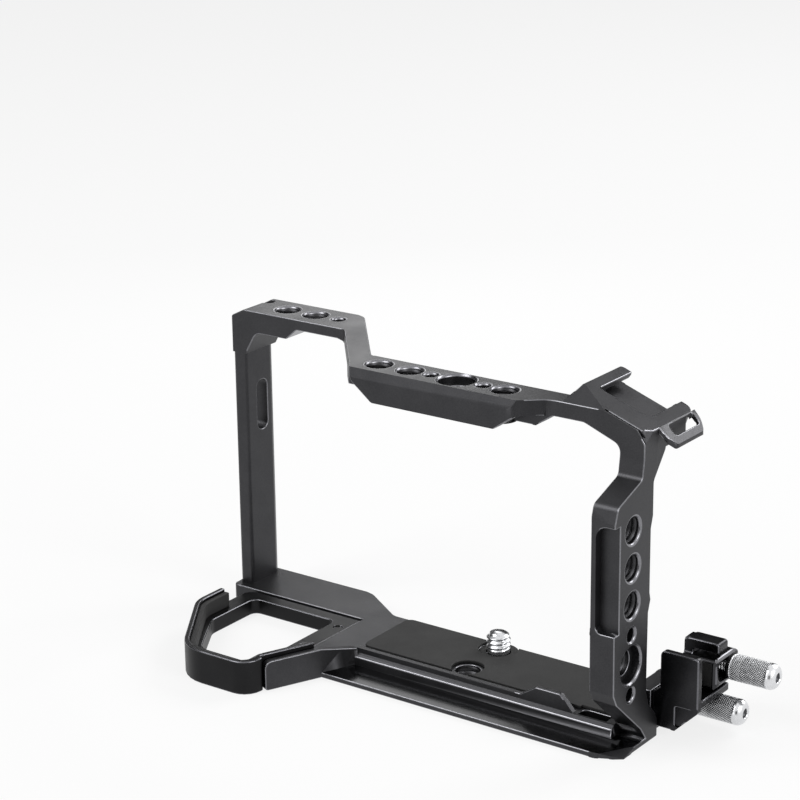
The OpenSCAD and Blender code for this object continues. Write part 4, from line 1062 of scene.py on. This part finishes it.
@dataclass
class Lamp:
    """A soft square lamp that looks at the cage: its place, its side's length and its power."""

    name: str
    place_mm: Point
    size_mm: float
    watts: float

    def build(self, aim: Vector) -> None:
        """Hangs the lamp and points it.

        Args:
            aim: The point it looks at, in metres.
        """
        data = bpy.data.lights.new(self.name, "AREA")
        data.size, data.energy = self.size_mm * MM, self.watts
        lamp = bpy.data.objects.new(self.name, data)
        lamp.location = Vector(self.place_mm) * MM
        lamp.rotation_mode = "QUATERNION"
        lamp.rotation_quaternion = (aim - lamp.location).to_track_quat("-Z", "Y")
        bpy.context.scene.collection.objects.link(lamp)


@dataclass
class Flag:
    """A black felt block that is seen in reflections alone, so that edges and fillets read."""

    name: str
    low_mm: Point
    high_mm: Point
    colour: str = "050505"

    def build(self) -> None:
        """Hangs the flag in its place."""
        low, high = Vector(self.low_mm) * MM, Vector(self.high_mm) * MM
        flag = add_object(self.name, box_mesh((low + high) / 2, high - low))
        surface = empty_material(self.name)
        felt = add(surface.node_tree, "BsdfDiffuse", Color=linear(self.colour))
        add(surface.node_tree, "OutputMaterial", {"Surface": felt.outputs[0]})
        flag.data.materials.append(surface)
        flag.visible_camera = flag.visible_diffuse = flag.visible_shadow = False


@dataclass
class Studio:
    """A pale floor, soft lamps, a white surround and the camera at the photograph's angle.

    Attributes:
        eye_mm: Place of the lens.
        azimuth, elevation, roll: Angle round the cage, from straight in front towards +X, above
            the floor and about the view, in degrees.
        focal_px, centre_px: Focal length, and where the view's axis meets the picture, in pixels
            of a picture that is frame_px wide.
        sensor_mm, clip_m: Width of the sensor, and the nearest and furthest distance seen.
        surround, surround_light: The surround's colour and its strength as light.
        floor_colour, floor_half_m: The floor's colour, and half its width.
        floor_glow: How much of the floor, to the eye and in reflections, is plain white.
        aim_mm: The point that the lamps look at.
        flags, lamps: The black blocks and the lamps.
    """

    eye_mm: Point = (319.03, -465.06, 258.82)
    azimuth: float = 36.032
    elevation: float = 17.855
    roll: float = -0.7007
    focal_px: float = 2434.516
    centre_px: Pair = (402.779, 397.106)
    frame_px: float = 800.0
    sensor_mm: float = 36.0
    clip_m: Pair = (0.05, 20)
    surround: str = "c8c8c8"
    surround_light: float = 0.5
    floor_colour: str = "f2f2f2"
    floor_half_m: float = 4.0
    floor_glow: float = 0.8
    aim_mm: Point = (-10, 10, 40)
    flags: tuple[Flag, ...] = (
        Flag("flag_left", (-901, -900, 1), (-900, 500, 900)),
        Flag("flag_in_front", (110, -700, 1), (560, -210, 2)),
        Flag("flag_by_camera", (330, -900, 1), (700, -660, 420)),
        Flag("flag_behind", (-540, 349, 1), (40, 350, 300)),
    )
    lamps: tuple[Lamp, ...] = (
        Lamp("key_lamp", (-500, -700, 900), 700, 8.0),
        Lamp("side_lamp", (900, -100, 500), 500, 4.0),
        Lamp("back_lamp", (290, 880, 650), 520, 5.0),
        Lamp("sheen_lamp", (-250, 293, 191), 120, 0.12),
        Lamp("fillet_lamp", (-40, -620, 90), 120, 0.08),
    )

    def camera(self) -> None:
        """Sets the camera."""
        a, e, turn = (math.radians(v) for v in (self.azimuth, self.elevation, self.roll))
        back = Vector((math.sin(a) * math.cos(e), -math.cos(a) * math.cos(e), math.sin(e)))
        level = Vector((math.cos(a), math.sin(a), 0))
        rise = level.cross(-back)
        right = math.cos(turn) * level + math.sin(turn) * rise
        up = math.cos(turn) * rise - math.sin(turn) * level
        data = bpy.data.cameras.new("studio_camera")
        data.sensor_width = self.sensor_mm
        data.lens = self.focal_px / self.frame_px * self.sensor_mm
        data.shift_x = (self.frame_px / 2 - self.centre_px[0]) / self.frame_px
        data.shift_y = (self.centre_px[1] - self.frame_px / 2) / self.frame_px
        data.clip_start, data.clip_end = self.clip_m
        eye = bpy.data.objects.new("studio_camera", data)
        eye.matrix_world = (Matrix.Translation(Vector(self.eye_mm) * MM)
                            @ Matrix((right, up, back)).transposed().to_4x4())
        bpy.context.scene.collection.objects.link(eye)
        bpy.context.scene.camera = eye

    def shown(self, tree: NodeTree) -> NodeSocket:
        """Gives a socket that is one for rays that show a surface, and zero for its light."""
        path = add(tree, "LightPath")
        first = add(tree, "Math", {"0": path.outputs["Is Camera Ray"],
                                   "1": path.outputs["Is Glossy Ray"]}, operation="ADD")
        both = add(tree, "Math", {"0": first.outputs["Value"],
                                  "1": path.outputs["Is Transmission Ray"]},
                   operation="ADD", use_clamp=True)
        return both.outputs["Value"]

    def world(self) -> None:
        """Makes the surround: white to the eye and in reflections, softer as light."""
        world = bpy.data.worlds.new("studio")
        world.use_nodes = True
        tree = world.node_tree
        tree.nodes.clear()
        soft = add(tree, "Background", Color=linear(self.surround), Strength=self.surround_light)
        white = add(tree, "Background", Color=linear(WHITE), Strength=1.0)
        mix = add(tree, "MixShader", {"0": self.shown(tree), "1": soft.outputs[0],
                                      "2": white.outputs[0]})
        add(tree, "OutputWorld", {"Surface": mix.outputs[0]})
        bpy.context.scene.world = world

    def floor(self) -> None:
        """Lays the pale floor."""
        mesh = bmesh.new()
        bmesh.ops.create_grid(mesh, x_segments=2, y_segments=2, size=self.floor_half_m)
        laid = add_object("studio_floor", mesh)
        surface = empty_material("studio_floor_white")
        tree = surface.node_tree
        paint = add(tree, "BsdfDiffuse", Color=linear(self.floor_colour))
        glow = add(tree, "Emission", Color=linear(WHITE), Strength=1.0)
        share = add(tree, "Math", {"0": self.shown(tree)}, operation="MULTIPLY")
        share.inputs[1].default_value = self.floor_glow
        mix = add(tree, "MixShader", {"0": share.outputs["Value"], "1": paint.outputs[0],
                                      "2": glow.outputs[0]})
        add(tree, "OutputMaterial", {"Surface": mix.outputs[0]})
        laid.data.materials.append(surface)

    def build(self) -> None:
        """Builds the studio."""
        self.floor()
        for flag in self.flags:
            flag.build()
        self.world()
        self.camera()
        for lamp in self.lamps:
            lamp.build(Vector(self.aim_mm) * MM)
        bpy.context.scene.view_settings.view_transform = "Standard"


def main() -> None:
    """Builds the cage's pieces in order, then the studio."""
    logging.basicConfig(level=logging.INFO, format="%(name)s: %(message)s")
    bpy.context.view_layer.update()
    for assembly in (CageFrame(), GripTray(), Underside(), CableClamp(), Studio()):
        log.info("building %s", type(assembly).__name__)
        assembly.build()


if __name__ == "__main__":
    main()
